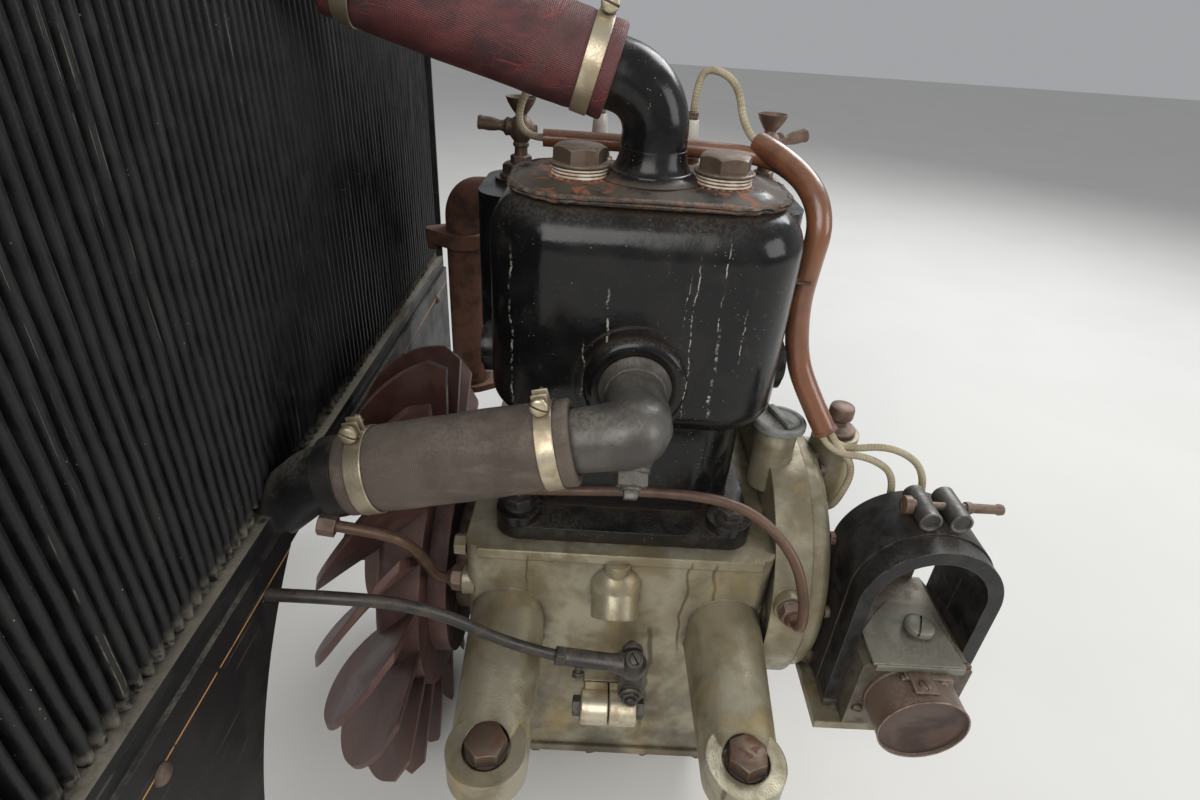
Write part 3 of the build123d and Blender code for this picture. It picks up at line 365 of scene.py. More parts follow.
@dataclass(frozen=True)
class DrippedEnamel(Finish):
    """Glossy black enamel with dried pale drips, white specks and rust where water has stood."""

    # Columns: where a drip ran down the near side, its lower and upper end, how wide it is, in metres
    drips: tuple[tuple[float, float, float, float], ...] = (
        (-0.0870, 0.200, 0.318, 0.0009), (-0.0225, 0.256, 0.300, 0.0009), (-0.0380, 0.214, 0.262, 0.0006),
        (0.0320, 0.190, 0.322, 0.0005), (0.0270, 0.262, 0.310, 0.0004), (0.0505, 0.196, 0.275, 0.0012),
        (0.0490, 0.268, 0.334, 0.0005), (0.0660, 0.232, 0.290, 0.0004),
    )

    def detail(self, paint: Paint) -> None:
        """Adds the drips, the specks and the rust."""
        across, depth, height = (paint.split(paint.spot, axis) for axis in "XYZ")
        near = depth.rise(-0.050, -0.056) * paint.upright()
        wander = (paint.noise(1.0, 3.0, paint.scaled((9.0, 9.0, 55.0))) - 0.5) * 0.009
        beads = paint.noise(1.0, 4.0, paint.scaled((300.0, 300.0, 420.0))).rise(0.44, 0.54)
        beads = beads * paint.noise(1.0, 3.0, paint.scaled((40.0, 40.0, 85.0))).rise(0.38, 0.56)
        for place, low, high, wide in self.drips:
            line = (across + wander - place).size().rise(wide, wide * 0.45)
            paint.over(
                line * beads * near * height.rise(low, low + 0.004) * height.rise(high, high - 0.02),
                (0.38, 0.355, 0.295), 0.85,
            )
        specks = paint.cells(330.0).rise(0.13, 0.07) * paint.noise(45.0, 3.0).rise(0.50, 0.62)
        paint.over(specks * 0.8, (0.34, 0.32, 0.27), 0.9)
        scuff = paint.noise(70.0, 7.0, warp=0.5)
        paint.over(scuff.rise(0.60, 0.72) * 0.35, (0.040, 0.036, 0.032), 0.45)
        top = height.rise(0.3445, 0.348) * height.rise(0.3545, 0.3520)
        film = paint.noise(40.0, 6.0)
        paint.over(top * film.rise(0.34, 0.58) * 0.85, (0.085, 0.066, 0.050), 0.8)
        beside = (across.size() - 0.050).size().rise(0.034, 0.016)
        rust = paint.noise(95.0, 6.0, warp=0.6)
        paint.over(top * beside * rust.rise(0.50, 0.60), (0.27, 0.088, 0.040), 0.85)
        paint.over(top * rust.rise(0.66, 0.70) * 0.8, (0.22, 0.075, 0.038), 0.85)


@dataclass(frozen=True)
class OiledCasting(Finish):
    """Cast aluminium with yellow-brown oil stains and dark runs."""

    stain: Colour = (0.22, 0.175, 0.095)
    # Columns: where oil ran down the near wall, its lower and upper end, how wide it is, in metres
    runs: tuple[tuple[float, float, float, float], ...] = (
        (0.052, -0.02, 0.094, 0.0016), (0.072, -0.05, 0.094, 0.0020), (-0.071, 0.04, 0.094, 0.0011),
        (0.008, -0.11, -0.02, 0.006), (0.030, -0.13, 0.02, 0.0030),
    )

    def detail(self, paint: Paint) -> None:
        """Adds the stains, the runs, painted shade toward both ends and the dark lower parts."""
        cloud = paint.noise(9.0, 8.0, warp=0.3)
        paint.over(cloud.rise(0.44, 0.68) * 0.62, self.stain, 0.42, 0.35)
        fine = paint.noise(60.0, 8.0)
        paint.over(fine.rise(0.50, 0.72) * 0.4, (0.13, 0.105, 0.06), 0.5, 0.2)
        across, depth, height = (paint.split(paint.spot, axis) for axis in "XYZ")
        wander = (paint.noise(1.0, 2.0, paint.scaled((12.0, 12.0, 26.0))) - 0.5) * 0.016
        for place, low, high, wide in self.runs:
            line = (across + wander - place).size().rise(wide, wide * 0.3)
            part = line * paint.upright() * depth.rise(-0.060, -0.070) * height.rise(low, low + 0.03)
            paint.over(
                part * height.rise(high + 0.004, high - 0.004) * 0.8, (0.075, 0.048, 0.022), 0.35, 0.1,
            )
        # Painted shade: the case darker toward both of its ends.
        shade = (across.size() * 1.1 - 0.062).rise(0.0, 0.06) * paint.noise(26.0, 5.0).rise(0.35, 0.65)
        paint.over(shade * 0.55, (0.15, 0.125, 0.075), 0.42, 0.35)
        yellow = paint.noise(1.0, 4.0, paint.scaled((34.0, 34.0, 9.0)))
        paint.over(yellow.rise(0.55, 0.72) * 0.5, (0.42, 0.31, 0.13), 0.32, 0.4)
        specks = paint.cells(210.0).rise(0.14, 0.07) * paint.noise(20.0, 3.0).rise(0.50, 0.62)
        paint.over(specks * 0.6, (0.10, 0.07, 0.04), 0.6, 0.1)
        low = paint.split(paint.spot, "Z").rise(0.01, -0.10)
        paint.over(low * paint.noise(24.0, 5.0).rise(0.3, 0.65) * 0.8, (0.05, 0.040, 0.025), 0.5, 0.0)


@dataclass(frozen=True)
class PinstripedBlack(Finish):
    """Black coachwork paint with one fine orange line and the shine of old varnish."""

    def detail(self, paint: Paint) -> None:
        """Adds the line and fine scratches."""
        height = paint.split(paint.spot, "Z")
        line = height.rise(0.1302, 0.1307) * height.rise(0.1319, 0.1314)
        front = paint.split(paint.face, "X").rise(0.5, 0.9)
        paint.over(line * front * paint.noise(160.0, 3.0).rise(0.30, 0.42), (0.52, 0.26, 0.09), 0.6)
        ledge = paint.upward(0.6, 0.95) * height.rise(0.1585, 0.1625) * height.rise(0.20, 0.18)
        paint.over(ledge * paint.noise(130.0, 5.0).rise(0.22, 0.46) * 0.92, (0.235, 0.212, 0.160), 0.95)
        scratch = paint.noise(1.0, 2.0, paint.scaled((14.0, 14.0, 420.0), turn=(0.5, 0.2, 0.1)))
        paint.over(scratch.rise(0.66, 0.70) * 0.35, (0.16, 0.15, 0.14), 0.6)


@dataclass(frozen=True)
class WovenHose(Finish):
    """Canvas hose: a fine weave laid round it, rubbed and stained."""

    thread: float = 1150.0
    crack: Colour | None = None

    def detail(self, paint: Paint) -> None:
        """Adds the weave, the wrap's lap line and any cracks."""
        flat = paint.uv()
        around, length = paint.split(flat, "X"), paint.split(flat, "Y")
        warp = ((around + length) * self.thread * 2.4).sine()
        weft = ((around - length) * self.thread * 2.4).sine()
        weave = warp * weft
        paint.relief(weave, 0.00014)
        paint.over(weave.rise(0.0, -0.9) * 0.35, (0.05, 0.035, 0.03), 0.95)
        lap = ((length + around * 0.34) * 62.0).sine()
        paint.relief(lap.rise(0.90, 0.98), 0.0005)
        paint.over(lap.rise(0.93, 0.99) * 0.35, (0.07, 0.05, 0.04), 0.9)
        rubbed = paint.noise(1.0, 5.0, paint.scaled((26.0, 26.0, 90.0)))
        paint.over(rubbed.rise(0.5, 0.7) * 0.5, tuple(min(1.0, part * 1.7) for part in self.colour), 0.85)
        if self.crack is not None:
            web = paint.cells(58.0, paint.scaled((1.0, 1.6, 1.6)), "DISTANCE_TO_EDGE")
            shallow = web.rise(0.035, 0.008) * paint.noise(34.0, 4.0).rise(0.46, 0.60)
            paint.over(shallow * 0.8, self.crack, 0.7)
            paint.relief(1.0 - shallow, 0.0003)


@dataclass(frozen=True)
class Braid(Finish):
    """Braided lead: threads crossing round it."""

    def detail(self, paint: Paint) -> None:
        """Adds the crossing threads."""
        flat = paint.uv()
        around, length = paint.split(flat, "X"), paint.split(flat, "Y")
        cross = (around * 2200.0 + length * 1300.0).sine() * (around * 2200.0 - length * 1300.0).sine()
        paint.relief(cross, 0.00015)
        paint.over(cross.rise(0.1, -0.8) * 0.32, (0.14, 0.11, 0.07), 0.95)


@dataclass(frozen=True)
class TubeBlack(Finish):
    """Black paint on the radiator's tubes: dust in streaks and grey on the fronts."""

    def detail(self, paint: Paint) -> None:
        """Adds streaks and rubbed fronts."""
        streak = paint.noise(1.0, 5.0, paint.scaled((60.0, 260.0, 7.0)))
        paint.over(streak.rise(0.56, 0.74) * 0.35, (0.075, 0.072, 0.066), 0.6)
        line = paint.noise(1.0, 2.0, paint.scaled((300.0, 1300.0, 3.0)))
        paint.over(
            line.rise(0.69, 0.72) * paint.noise(70.0, 3.0).rise(0.42, 0.56) * 0.7, (0.25, 0.22, 0.155), 0.8,
        )
        flecks = paint.cells(260.0).rise(0.10, 0.05) * paint.noise(30.0, 3.0).rise(0.54, 0.64)
        paint.over(flecks * 0.8, (0.36, 0.34, 0.29), 0.9)
        low = paint.split(paint.spot, "Z").rise(0.178, 0.1655)
        paint.over(low * paint.noise(150.0, 4.0).rise(0.35, 0.6) * 0.85, (0.25, 0.225, 0.18), 0.95)


BLACK_DUST: Colour = (0.30, 0.27, 0.22)
# Dark colour for hollows and joins: partly grime, partly painted shade.
DARK_GRIME_AND_SHADE: Colour = (0.030, 0.023, 0.017)
STEEL_RUST: Colour = (0.15, 0.075, 0.045)

FINISHES: dict[str, Finish] = {
    finish.name: finish
    for finish in (
        DrippedEnamel(
            "black_enamel", (0.0065, 0.0065, 0.0070), (0.012, 0.0115, 0.011), 0.15, 0.25,
            grain_scale=260.0, grain_depth=0.00010, swell_scale=22.0, swell_depth=0.0012,
            dust=(0.16, 0.14, 0.115), dust_share=0.32, grime_and_shade=(0.035, 0.022, 0.014), soft_edge=0.0012,
            specular=0.32,
        ),
        OiledCasting(
            "case_aluminium", (0.42, 0.385, 0.285), (0.255, 0.215, 0.135), 0.29, 0.44, 0.62,
            grain_depth=0.00022, swell_scale=45.0, swell_depth=0.0008, grime_and_shade=DARK_GRIME_AND_SHADE, soft_edge=0.0018,
        ),
        OiledCasting(
            "sump_aluminium", (0.28, 0.25, 0.19), (0.19, 0.155, 0.10), 0.45, 0.6, 0.5, grain_depth=0.00022,
            swell_scale=45.0, swell_depth=0.0008, grime_and_shade=DARK_GRIME_AND_SHADE, soft_edge=0.0018,
        ),
        Finish(
            "old_steel", (0.17, 0.125, 0.095), STEEL_RUST, 0.48, 0.7, 0.75, mottle_scale=110.0,
            worn=(0.42, 0.39, 0.34), worn_share=0.5, grime_and_shade=DARK_GRIME_AND_SHADE, soft_edge=0.0006,
        ),
        Finish(
            "fan_maroon", (0.090, 0.038, 0.032), (0.135, 0.070, 0.056), 0.42, 0.62, mottle_scale=26.0,
            swell_scale=60.0, swell_depth=0.0009, worn=(0.22, 0.13, 0.10), worn_share=0.7,
            grime_and_shade=(0.035, 0.018, 0.016), grime_and_shade_reach=0.03, dust=(0.23, 0.17, 0.14), dust_share=0.45,
            soft_edge=0.0016,
        ),
        Finish(
            "dull_bronze", (0.175, 0.125, 0.090), (0.115, 0.080, 0.060), 0.42, 0.6, 0.6, mottle_scale=80.0,
            worn=(0.38, 0.30, 0.22), grime_and_shade=DARK_GRIME_AND_SHADE, dust=(0.27, 0.225, 0.175), dust_share=0.6,
        ),
        Finish(
            "cap_brown", (0.185, 0.120, 0.088), (0.120, 0.076, 0.056), 0.45, 0.62, 0.5, mottle_scale=80.0,
            worn=(0.40, 0.30, 0.22), grime_and_shade=DARK_GRIME_AND_SHADE, dust=(0.29, 0.245, 0.20),
        ),
        Finish(
            "white_gasket", (0.72, 0.68, 0.58), (0.50, 0.40, 0.28), 0.75, 0.85, mottle_scale=160.0,
            grime_and_shade=(0.20, 0.09, 0.05), grime_and_shade_reach=0.004,
        ),
        WovenHose(
            "old_hose", (0.126, 0.099, 0.079), (0.088, 0.067, 0.054), 0.82, 0.9, mottle_scale=24.0,
            grime_and_shade=(0.05, 0.035, 0.03), dust=(0.30, 0.26, 0.22), dust_share=0.3, soft_edge=0.0,
        ),
        WovenHose(
            "red_hose", (0.115, 0.030, 0.030), (0.060, 0.020, 0.022), 0.42, 0.6, mottle_scale=30.0,
            crack=(0.20, 0.038, 0.032), dust=(0.25, 0.18, 0.16), dust_share=0.3, soft_edge=0.0,
        ),
        Finish(
            "clamp_brass", (0.58, 0.50, 0.36), (0.40, 0.33, 0.22), 0.34, 0.5, 0.8, mottle_scale=70.0,
            grime_and_shade=(0.10, 0.07, 0.04), grime_and_shade_reach=0.006,
        ),
        Finish(
            "conduit_brown", (0.205, 0.080, 0.036), (0.135, 0.052, 0.026), 0.27, 0.38, mottle_scale=36.0,
            swell_scale=70.0, swell_depth=0.0005, grime_and_shade=(0.06, 0.03, 0.02), dust=(0.30, 0.21, 0.15),
            dust_share=0.3, coat=0.5,
        ),
        Braid(
            "lead_khaki", (0.47, 0.41, 0.28), (0.33, 0.27, 0.17), 0.75, 0.85, mottle_scale=50.0,
            soft_edge=0.0,
        ),
        Finish(
            "copper_pipe", (0.115, 0.062, 0.038), (0.080, 0.045, 0.031), 0.36, 0.5, 0.25,
            mottle_scale=60.0, grime_and_shade=(0.05, 0.03, 0.02), dust=(0.24, 0.17, 0.13), dust_share=0.35,
            soft_edge=0.0,
        ),
        Finish(
            "magnet_black", (0.012, 0.012, 0.013), (0.030, 0.029, 0.028), 0.36, 0.55, mottle_scale=60.0,
            specular=0.35, swell_scale=120.0, swell_depth=0.0004, worn=(0.20, 0.165, 0.13),
            worn_share=0.75, grime_and_shade=(0.05, 0.038, 0.028), dust=(0.16, 0.145, 0.12), dust_share=0.4,
        ),
        Finish(
            "magneto_grey", (0.16, 0.14, 0.11), (0.10, 0.08, 0.06), 0.5, 0.65, 0.45, mottle_scale=70.0,
            worn=(0.42, 0.39, 0.33), grime_and_shade=DARK_GRIME_AND_SHADE, dust=(0.28, 0.25, 0.20), dust_share=0.4,
        ),
        Finish(
            "breaker_copper", (0.215, 0.155, 0.118), (0.165, 0.090, 0.062), 0.40, 0.58, 0.45,
            mottle_scale=34.0, worn=(0.52, 0.42, 0.32), worn_share=0.9, grime_and_shade=DARK_GRIME_AND_SHADE,
            dust=(0.36, 0.31, 0.26), dust_share=0.45, soft_edge=0.001,
        ),
        Finish(
            "breaker_dark", (0.082, 0.046, 0.033), (0.050, 0.031, 0.024), 0.42, 0.62, 0.35,
            mottle_scale=40.0, grime_and_shade=DARK_GRIME_AND_SHADE, soft_edge=0.0006,
        ),
        Finish(
            "barrel_steel", (0.100, 0.095, 0.087), (0.060, 0.056, 0.050), 0.34, 0.52, 0.55,
            mottle_scale=80.0, worn=(0.48, 0.45, 0.39), worn_share=0.85, grime_and_shade=DARK_GRIME_AND_SHADE,
            dust=(0.26, 0.24, 0.20), dust_share=0.4,
        ),
        Finish(
            "plate_green", (0.205, 0.200, 0.155), (0.165, 0.155, 0.118), 0.44, 0.60, 0.35,
            mottle_scale=50.0, worn=(0.46, 0.43, 0.35), worn_share=0.8, grime_and_shade=DARK_GRIME_AND_SHADE,
            dust=(0.32, 0.30, 0.25), dust_share=0.4,
        ),
        PinstripedBlack(
            "radiator_black", (0.011, 0.011, 0.012), (0.022, 0.021, 0.020), 0.42, 0.60, mottle_scale=26.0,
            specular=0.3, worn=(0.17, 0.15, 0.13), worn_share=0.4, grime_and_shade=(0.05, 0.045, 0.038),
            dust=BLACK_DUST, dust_share=0.55,
        ),
        TubeBlack(
            "core_black", (0.008, 0.008, 0.009), (0.016, 0.016, 0.016), 0.34, 0.48, mottle_scale=60.0,
            dust=BLACK_DUST, dust_share=0.8, soft_edge=0.0, specular=0.32,
        ),
        Finish(
            "rusty_iron", (0.155, 0.072, 0.045), (0.085, 0.042, 0.030), 0.8, 0.9, 0.1, mottle_scale=75.0,
            grain_scale=420.0, grain_depth=0.0004, grime_and_shade=(0.04, 0.02, 0.015), dust=(0.33, 0.21, 0.14),
            dust_share=0.4,
        ),
        Finish(
            "spring_steel", (0.22, 0.20, 0.18), (0.12, 0.10, 0.085), 0.38, 0.55, 0.85, mottle_scale=120.0,
            grime_and_shade=DARK_GRIME_AND_SHADE, grime_and_shade_reach=0.006,
        ),
        Finish(
            "seam_crust", (0.040, 0.032, 0.027), (0.13, 0.062, 0.038), 0.7, 0.9, mottle_scale=120.0,
            grain_scale=700.0, grain_depth=0.0009, soft_edge=0.0, dust=(0.26, 0.22, 0.17), dust_share=0.55,
        ),
        Finish(
            "rust_beads", (0.30, 0.105, 0.050), (0.36, 0.20, 0.11), 0.9, 0.95, mottle_scale=130.0,
            grain_scale=900.0, grain_depth=0.0008, soft_edge=0.0,
        ),
        Finish(
            "filler_grey", (0.20, 0.21, 0.20), (0.13, 0.13, 0.12), 0.5, 0.7, 0.3, mottle_scale=60.0,
            worn=(0.40, 0.38, 0.33), grime_and_shade=DARK_GRIME_AND_SHADE, dust=(0.36, 0.34, 0.30), dust_share=0.7,
        ),
        Finish(
            "oily_steel", (0.050, 0.046, 0.043), (0.085, 0.070, 0.058), 0.34, 0.5, 0.55, mottle_scale=90.0,
            worn=(0.30, 0.28, 0.25), worn_share=0.55, grime_and_shade=(0.02, 0.017, 0.014), grime_and_shade_reach=0.008,
            dust=(0.20, 0.17, 0.14), dust_share=0.35, soft_edge=0.0006,
        ),
        Finish(
            "cast_grey", (0.105, 0.098, 0.088), (0.065, 0.060, 0.054), 0.33, 0.46, 0.35, mottle_scale=42.0,
            grain_scale=380.0, grain_depth=0.0002, swell_scale=55.0, swell_depth=0.0009,
            worn=(0.34, 0.31, 0.26), worn_share=0.6, grime_and_shade=(0.04, 0.033, 0.026), dust=(0.26, 0.235, 0.195),
            dust_share=0.5, soft_edge=0.0010,
        ),
        Finish(
            "bearing_bright", (0.62, 0.56, 0.43), (0.45, 0.37, 0.25), 0.34, 0.5, 0.7, mottle_scale=90.0,
            grime_and_shade=DARK_GRIME_AND_SHADE, grime_and_shade_reach=0.008, soft_edge=0.0008,
        ),
        Finish(
            "porcelain", (0.70, 0.66, 0.57), (0.56, 0.50, 0.41), 0.22, 0.4, mottle_scale=60.0,
            grain_depth=0.00003, grime_and_shade=(0.12, 0.08, 0.05), coat=0.4,
        ),
    )
}


class Wardrobe:
    """Makes each finish's material once."""

    def __init__(self) -> None:
        """Starts with none made."""
        self.made: dict[str, bpy.types.Material] = {}

    def __getitem__(self, name: str) -> bpy.types.Material:
        """Gives a finish's material."""
        if name not in self.made:
            self.made[name] = FINISHES[name].material()
        return self.made[name]


WARDROBE = Wardrobe()


# The studio and the camera


@dataclass
class Studio:
    """Floor, lamps, sky and the camera at the photograph's angle."""

    camera_place: Colour = (-33.5, -465.0, 450.0)
    camera_right: Colour = (0.99805, 0.01369, 0.06083)
    camera_up: Colour = (-0.05923, 0.51262, 0.85657)
    camera_back: Colour = (-0.01946, -0.85851, 0.51243)
    lens: float = 20.1
    floor_drop: float = 2.0
    floor_size: float = 9.0

    def camera(self) -> None:
        """Makes the camera."""
        data = bpy.data.cameras.new("camera")
        data.lens, data.sensor_width = self.lens, 36.0
        data.clip_start = 0.01
        holder = bpy.data.objects.new("camera", data)
        turn = Matrix((self.camera_right, self.camera_up, self.camera_back)).transposed()
        holder.matrix_world = Matrix.Translation(Vector(self.camera_place) * MM) @ turn.to_4x4()
        bpy.context.scene.collection.objects.link(holder)
        bpy.context.scene.camera = holder

    def floor(self) -> None:
        """Makes a plain pale floor just under the lowest piece."""
        paint = Paint("floor", (0.70, 0.69, 0.66), 0.85)
        paint.over(paint.noise(3.0, 3.0).rise(0.4, 0.7) * 0.25, (0.62, 0.61, 0.58))
        shape = bmesh.new()
        bmesh.ops.create_grid(shape, x_segments=1, y_segments=1, size=self.floor_size)
        data = bpy.data.meshes.new("floor")
        shape.to_mesh(data)
        shape.free()
        data.transform(Matrix.Translation((0.0, 0.0, CAD_BOX[0].z - self.floor_drop * MM)))
        data.materials.append(paint.done())
        sheet = bpy.data.objects.new("floor", data)
        bpy.context.scene.collection.objects.link(sheet)

    def lamp(
        self, name: str, place: Colour, size: float, power: float, colour: Colour = (1.0, 1.0, 1.0),
    ) -> None:
        """Adds one soft square lamp that looks at the engine."""
        data = bpy.data.lights.new(name, "AREA")
        data.size, data.energy, data.color = size, power, colour
        holder = bpy.data.objects.new(name, data)
        spot = Vector(place)
        turn = (Vector((0.0, 0.0, 0.2)) - spot).to_track_quat("-Z", "Y").to_matrix().to_4x4()
        holder.matrix_world = Matrix.Translation(spot) @ turn
        bpy.context.scene.collection.objects.link(holder)

    def build(self) -> None:
        """Sets the whole studio up."""
        self.camera()
        self.floor()
        self.lamp("window", (1.3, 1.6, 1.9), 1.4, 46.0, (0.96, 0.98, 1.0))
        self.lamp("fill", (-0.5, -1.9, 1.6), 1.6, 34.0, (1.0, 0.98, 0.95))
        self.lamp("side", (2.2, -0.9, 1.0), 1.2, 16.0)
        world = bpy.data.worlds.new("sky")
        world.use_nodes = True
        world.node_tree.nodes["Background"].inputs[0].default_value = (0.80, 0.82, 0.85, 1.0)
        world.node_tree.nodes["Background"].inputs[1].default_value = 0.45
        bpy.context.scene.world = world
        bpy.context.scene.view_settings.view_transform = "Standard"


# Mesh building


Point = tuple[float, float, float]
Pair = tuple[float, float]
UP: Point = (0.0, 0.0, 1.0)
NEAR: Point = (0.0, -1.0, 0.0)


class Body(Enum):
    """The two bodies that a piece can ride on."""

    ENGINE = "engine"
    ROTOR = "rotor"


def seat(origin: Iterable[float], heading: Iterable[float] = UP, turn: float = 0.0) -> Matrix:
    """Gives the place of a shape that stands at a point and grows along a heading.

    With UP it also turns the shape half round, so a shape that isn't even needs a plain translation.

    Args:
        origin: Where its foot is, in millimetres.
        heading: The way it points.
        turn: How far it is turned about that, in degrees.

    Returns:
        The matrix that puts it there.
    """
    spin = Matrix.Rotation(math.radians(turn), 4, "Z")
    aim = Vector(heading).to_track_quat("Z", "Y").to_matrix().to_4x4()
    return Matrix.Translation(Vector(origin)) @ aim @ spin


def install(
    name: str, data: bpy.types.Mesh, finish: str, body: Body = Body.ENGINE, stands_for: Sequence[str] = ()
) -> bpy.types.Object:
    """Puts a finished mesh in the scene, on its body and in its finish."""
    data.name = name
    data.materials.append(WARDROBE[finish])
    piece = bpy.data.objects.new(name, data)
    bpy.context.scene.collection.objects.link(piece)
    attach(piece, body.value)
    if stands_for:
        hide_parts(*stands_for)
    log.info("built %s with %d faces", name, len(data.polygons))
    return piece


def drawn(points: Sequence[Point], radius: float) -> tuple[bpy.types.Mesh, list[Point]]:
    """Draws a round cord or pipe past its points as one soft curve.

    Args:
        points: The places that bend it, of which it meets the first and the last.
        radius: Its radius, in the points' unit.

    Returns:
        The mesh, whose UV runs along it and round it from 0 to 1, and its middle line.
    """
    curve = bpy.data.curves.new("line", "CURVE")
    curve.dimensions, curve.resolution_u = "3D", 10
    spline = curve.splines.new("NURBS")
    spline.points.add(len(points) - 1)
    for corner, place in zip(spline.points, points):
        corner.co = (*place, 1.0)
    spline.order_u = 3
    spline.use_endpoint_u = True
    holder = bpy.data.objects.new("line", curve)
    line = bpy.data.meshes.new_from_object(holder)
    path = [tuple(vert.co) for vert in line.vertices]
    curve.bevel_depth, curve.bevel_resolution, curve.use_fill_caps = radius, 4, True
    body = bpy.data.meshes.new_from_object(holder)
    bpy.data.objects.remove(holder)
    bpy.data.meshes.remove(line)
    return body, path


class Forge:
    """A piece while it is made: shapes in millimetres, closed into one object in metres."""

    def __init__(self) -> None:
        """Starts with nothing."""
        self.mesh = bmesh.new()

    @contextmanager
    def shape(self, place: Matrix = Matrix()) -> Iterator[bmesh.types.BMesh]:
        """Gives an empty mesh to shape, then welds it, turns its faces out and puts it in place."""
        mesh = bmesh.new()
        yield mesh
        bmesh.ops.remove_doubles(mesh, verts=mesh.verts, dist=0.002)
        bmesh.ops.recalc_face_normals(mesh, faces=mesh.faces)
        bmesh.ops.transform(mesh, matrix=place, verts=mesh.verts)
        holder = bpy.data.meshes.new("shape")
        mesh.to_mesh(holder)
        mesh.free()
        self.mesh.from_mesh(holder)
        bpy.data.meshes.remove(holder)

    def lathe(self, place: Matrix, outline: Sequence[Pair], steps: int = 32, ring: bool = False) -> None:
        """Turns an outline of radius and height about the place's own line.

        Args:
            place: Where the foot stands.
            outline: Radius and height of each corner, from one end on the line to the other.
            steps: How many steps make the full turn.
            ring: Whether the outline closes on itself, for a ring.
        """
        with self.shape(place) as mesh:
            corners = [mesh.verts.new((radius, 0.0, height)) for radius, height in outline]
            pairs = list(zip(corners, corners[1:])) + ([(corners[-1], corners[0])] if ring else [])
            rim = [mesh.edges.new(pair) for pair in pairs]
            bmesh.ops.spin(
                mesh, geom=corners + rim, cent=(0.0, 0.0, 0.0), axis=UP, angle=math.tau, steps=steps,
                use_merge=True,
            )

    def hexagon(self, place: Matrix, flats: float, height: float, crown: float = 0.95) -> None:
        """Makes a hexagon head whose corners a cone has cut down to a round crown."""
        apothem, sixth = flats / 2, math.pi / 3
        with self.shape(place) as mesh:
            for vert in bmesh.ops.create_circle(mesh, segments=36, radius=1.0, cap_ends=True)["verts"]:
                angle = math.atan2(vert.co.y, vert.co.x)
                vert.co *= apothem / math.cos(angle % sixth - sixth / 2)
            lifted = bmesh.ops.extrude_face_region(mesh, geom=mesh.faces[:])["geom"]
            for vert in (part for part in lifted if isinstance(part, bmesh.types.BMVert)):
                vert.co.z = height - max(0.0, vert.co.xy.length - apothem * crown) * 0.6
            top = [part for part in lifted if isinstance(part, bmesh.types.BMFace)]
            bmesh.ops.inset_region(mesh, faces=top, thickness=0.2)
            for vert in top[0].verts:
                vert.co.xy = vert.co.xy.normalized() * apothem * crown
                vert.co.z = height

    def slab(self, low: Point, high: Point, soft: float = 0.6, place: Matrix = Matrix()) -> None:
        """Makes a box between two corners with softened edges."""
        middle = (Vector(low) + Vector(high)) / 2
        with self.shape(place) as mesh:
            bmesh.ops.create_cube(mesh, size=1.0)
            bmesh.ops.scale(mesh, vec=Vector(high) - Vector(low), verts=mesh.verts)
            bmesh.ops.translate(mesh, vec=middle, verts=mesh.verts)
            self.soften(mesh, mesh.edges[:], soft)

    def sheet(self, place: Matrix, outline: Sequence[Pair], thick: float, soft: float = 0.35) -> None:
        """Makes a plate from an outline, with softened edges."""
        with self.shape(place) as mesh:
            face = mesh.faces.new([mesh.verts.new((x, y, 0.0)) for x, y in outline])
            lifted = bmesh.ops.extrude_face_region(mesh, geom=[face])["geom"]
            verts = [part for part in lifted if isinstance(part, bmesh.types.BMVert)]
            bmesh.ops.translate(mesh, vec=(0.0, 0.0, thick), verts=verts)
            self.soften(mesh, mesh.edges[:], soft)

    def soften(self, mesh: bmesh.types.BMesh, edges: list[bmesh.types.BMEdge], size: float) -> None:
        """Rounds edges off by a size."""
        bmesh.ops.bevel(
            mesh, geom=edges, offset=size, offset_type="OFFSET", affect="EDGES", segments=2, profile=0.5,
            material=-1, clamp_overlap=True,
        )

    def slotted(
        self, place: Matrix, radius: float, height: float, dome: float, slot: float, steps: int = 36,
    ) -> None:
        """Makes a screw head with a domed top and a slot across it."""
        curve = [
            (radius * math.cos(math.radians(a)), height + dome * math.sin(math.radians(a)))
            for a in (0, 15, 30, 45, 60, 75)
        ]
        with self.shape(place) as mesh:
            outline = [(0.0, 0.0), (radius, 0.0), *curve, (0.0, height + dome)]
            corners = [mesh.verts.new((r, 0.0, z)) for r, z in outline]
            rim = [mesh.edges.new(pair) for pair in zip(corners, corners[1:])]
            bmesh.ops.spin(
                mesh, geom=corners + rim, cent=(0.0, 0.0, 0.0), axis=UP, angle=math.tau, steps=steps,
                use_merge=True,
            )
            bmesh.ops.remove_doubles(mesh, verts=mesh.verts, dist=0.002)
            bmesh.ops.recalc_face_normals(mesh, faces=mesh.faces)
            for side in (-1, 1):
                whole = mesh.verts[:] + mesh.edges[:] + mesh.faces[:]
                bmesh.ops.bisect_plane(
                    mesh, geom=whole, plane_co=(side * slot / 2, 0.0, 0.0), plane_no=(1.0, 0.0, 0.0),
                )
            mesh.normal_update()
            floor = [
                face for face in mesh.faces if face.normal.z > 0.2
                and abs(face.calc_center_median().x) < slot / 2
            ]
            sunk = bmesh.ops.extrude_face_region(mesh, geom=floor)["geom"]
            bmesh.ops.delete(mesh, geom=floor, context="FACES_ONLY")
            verts = [part for part in sunk if isinstance(part, bmesh.types.BMVert)]
            bmesh.ops.translate(mesh, vec=(0.0, 0.0, -min(height * 0.6 + dome, 2.2)), verts=verts)

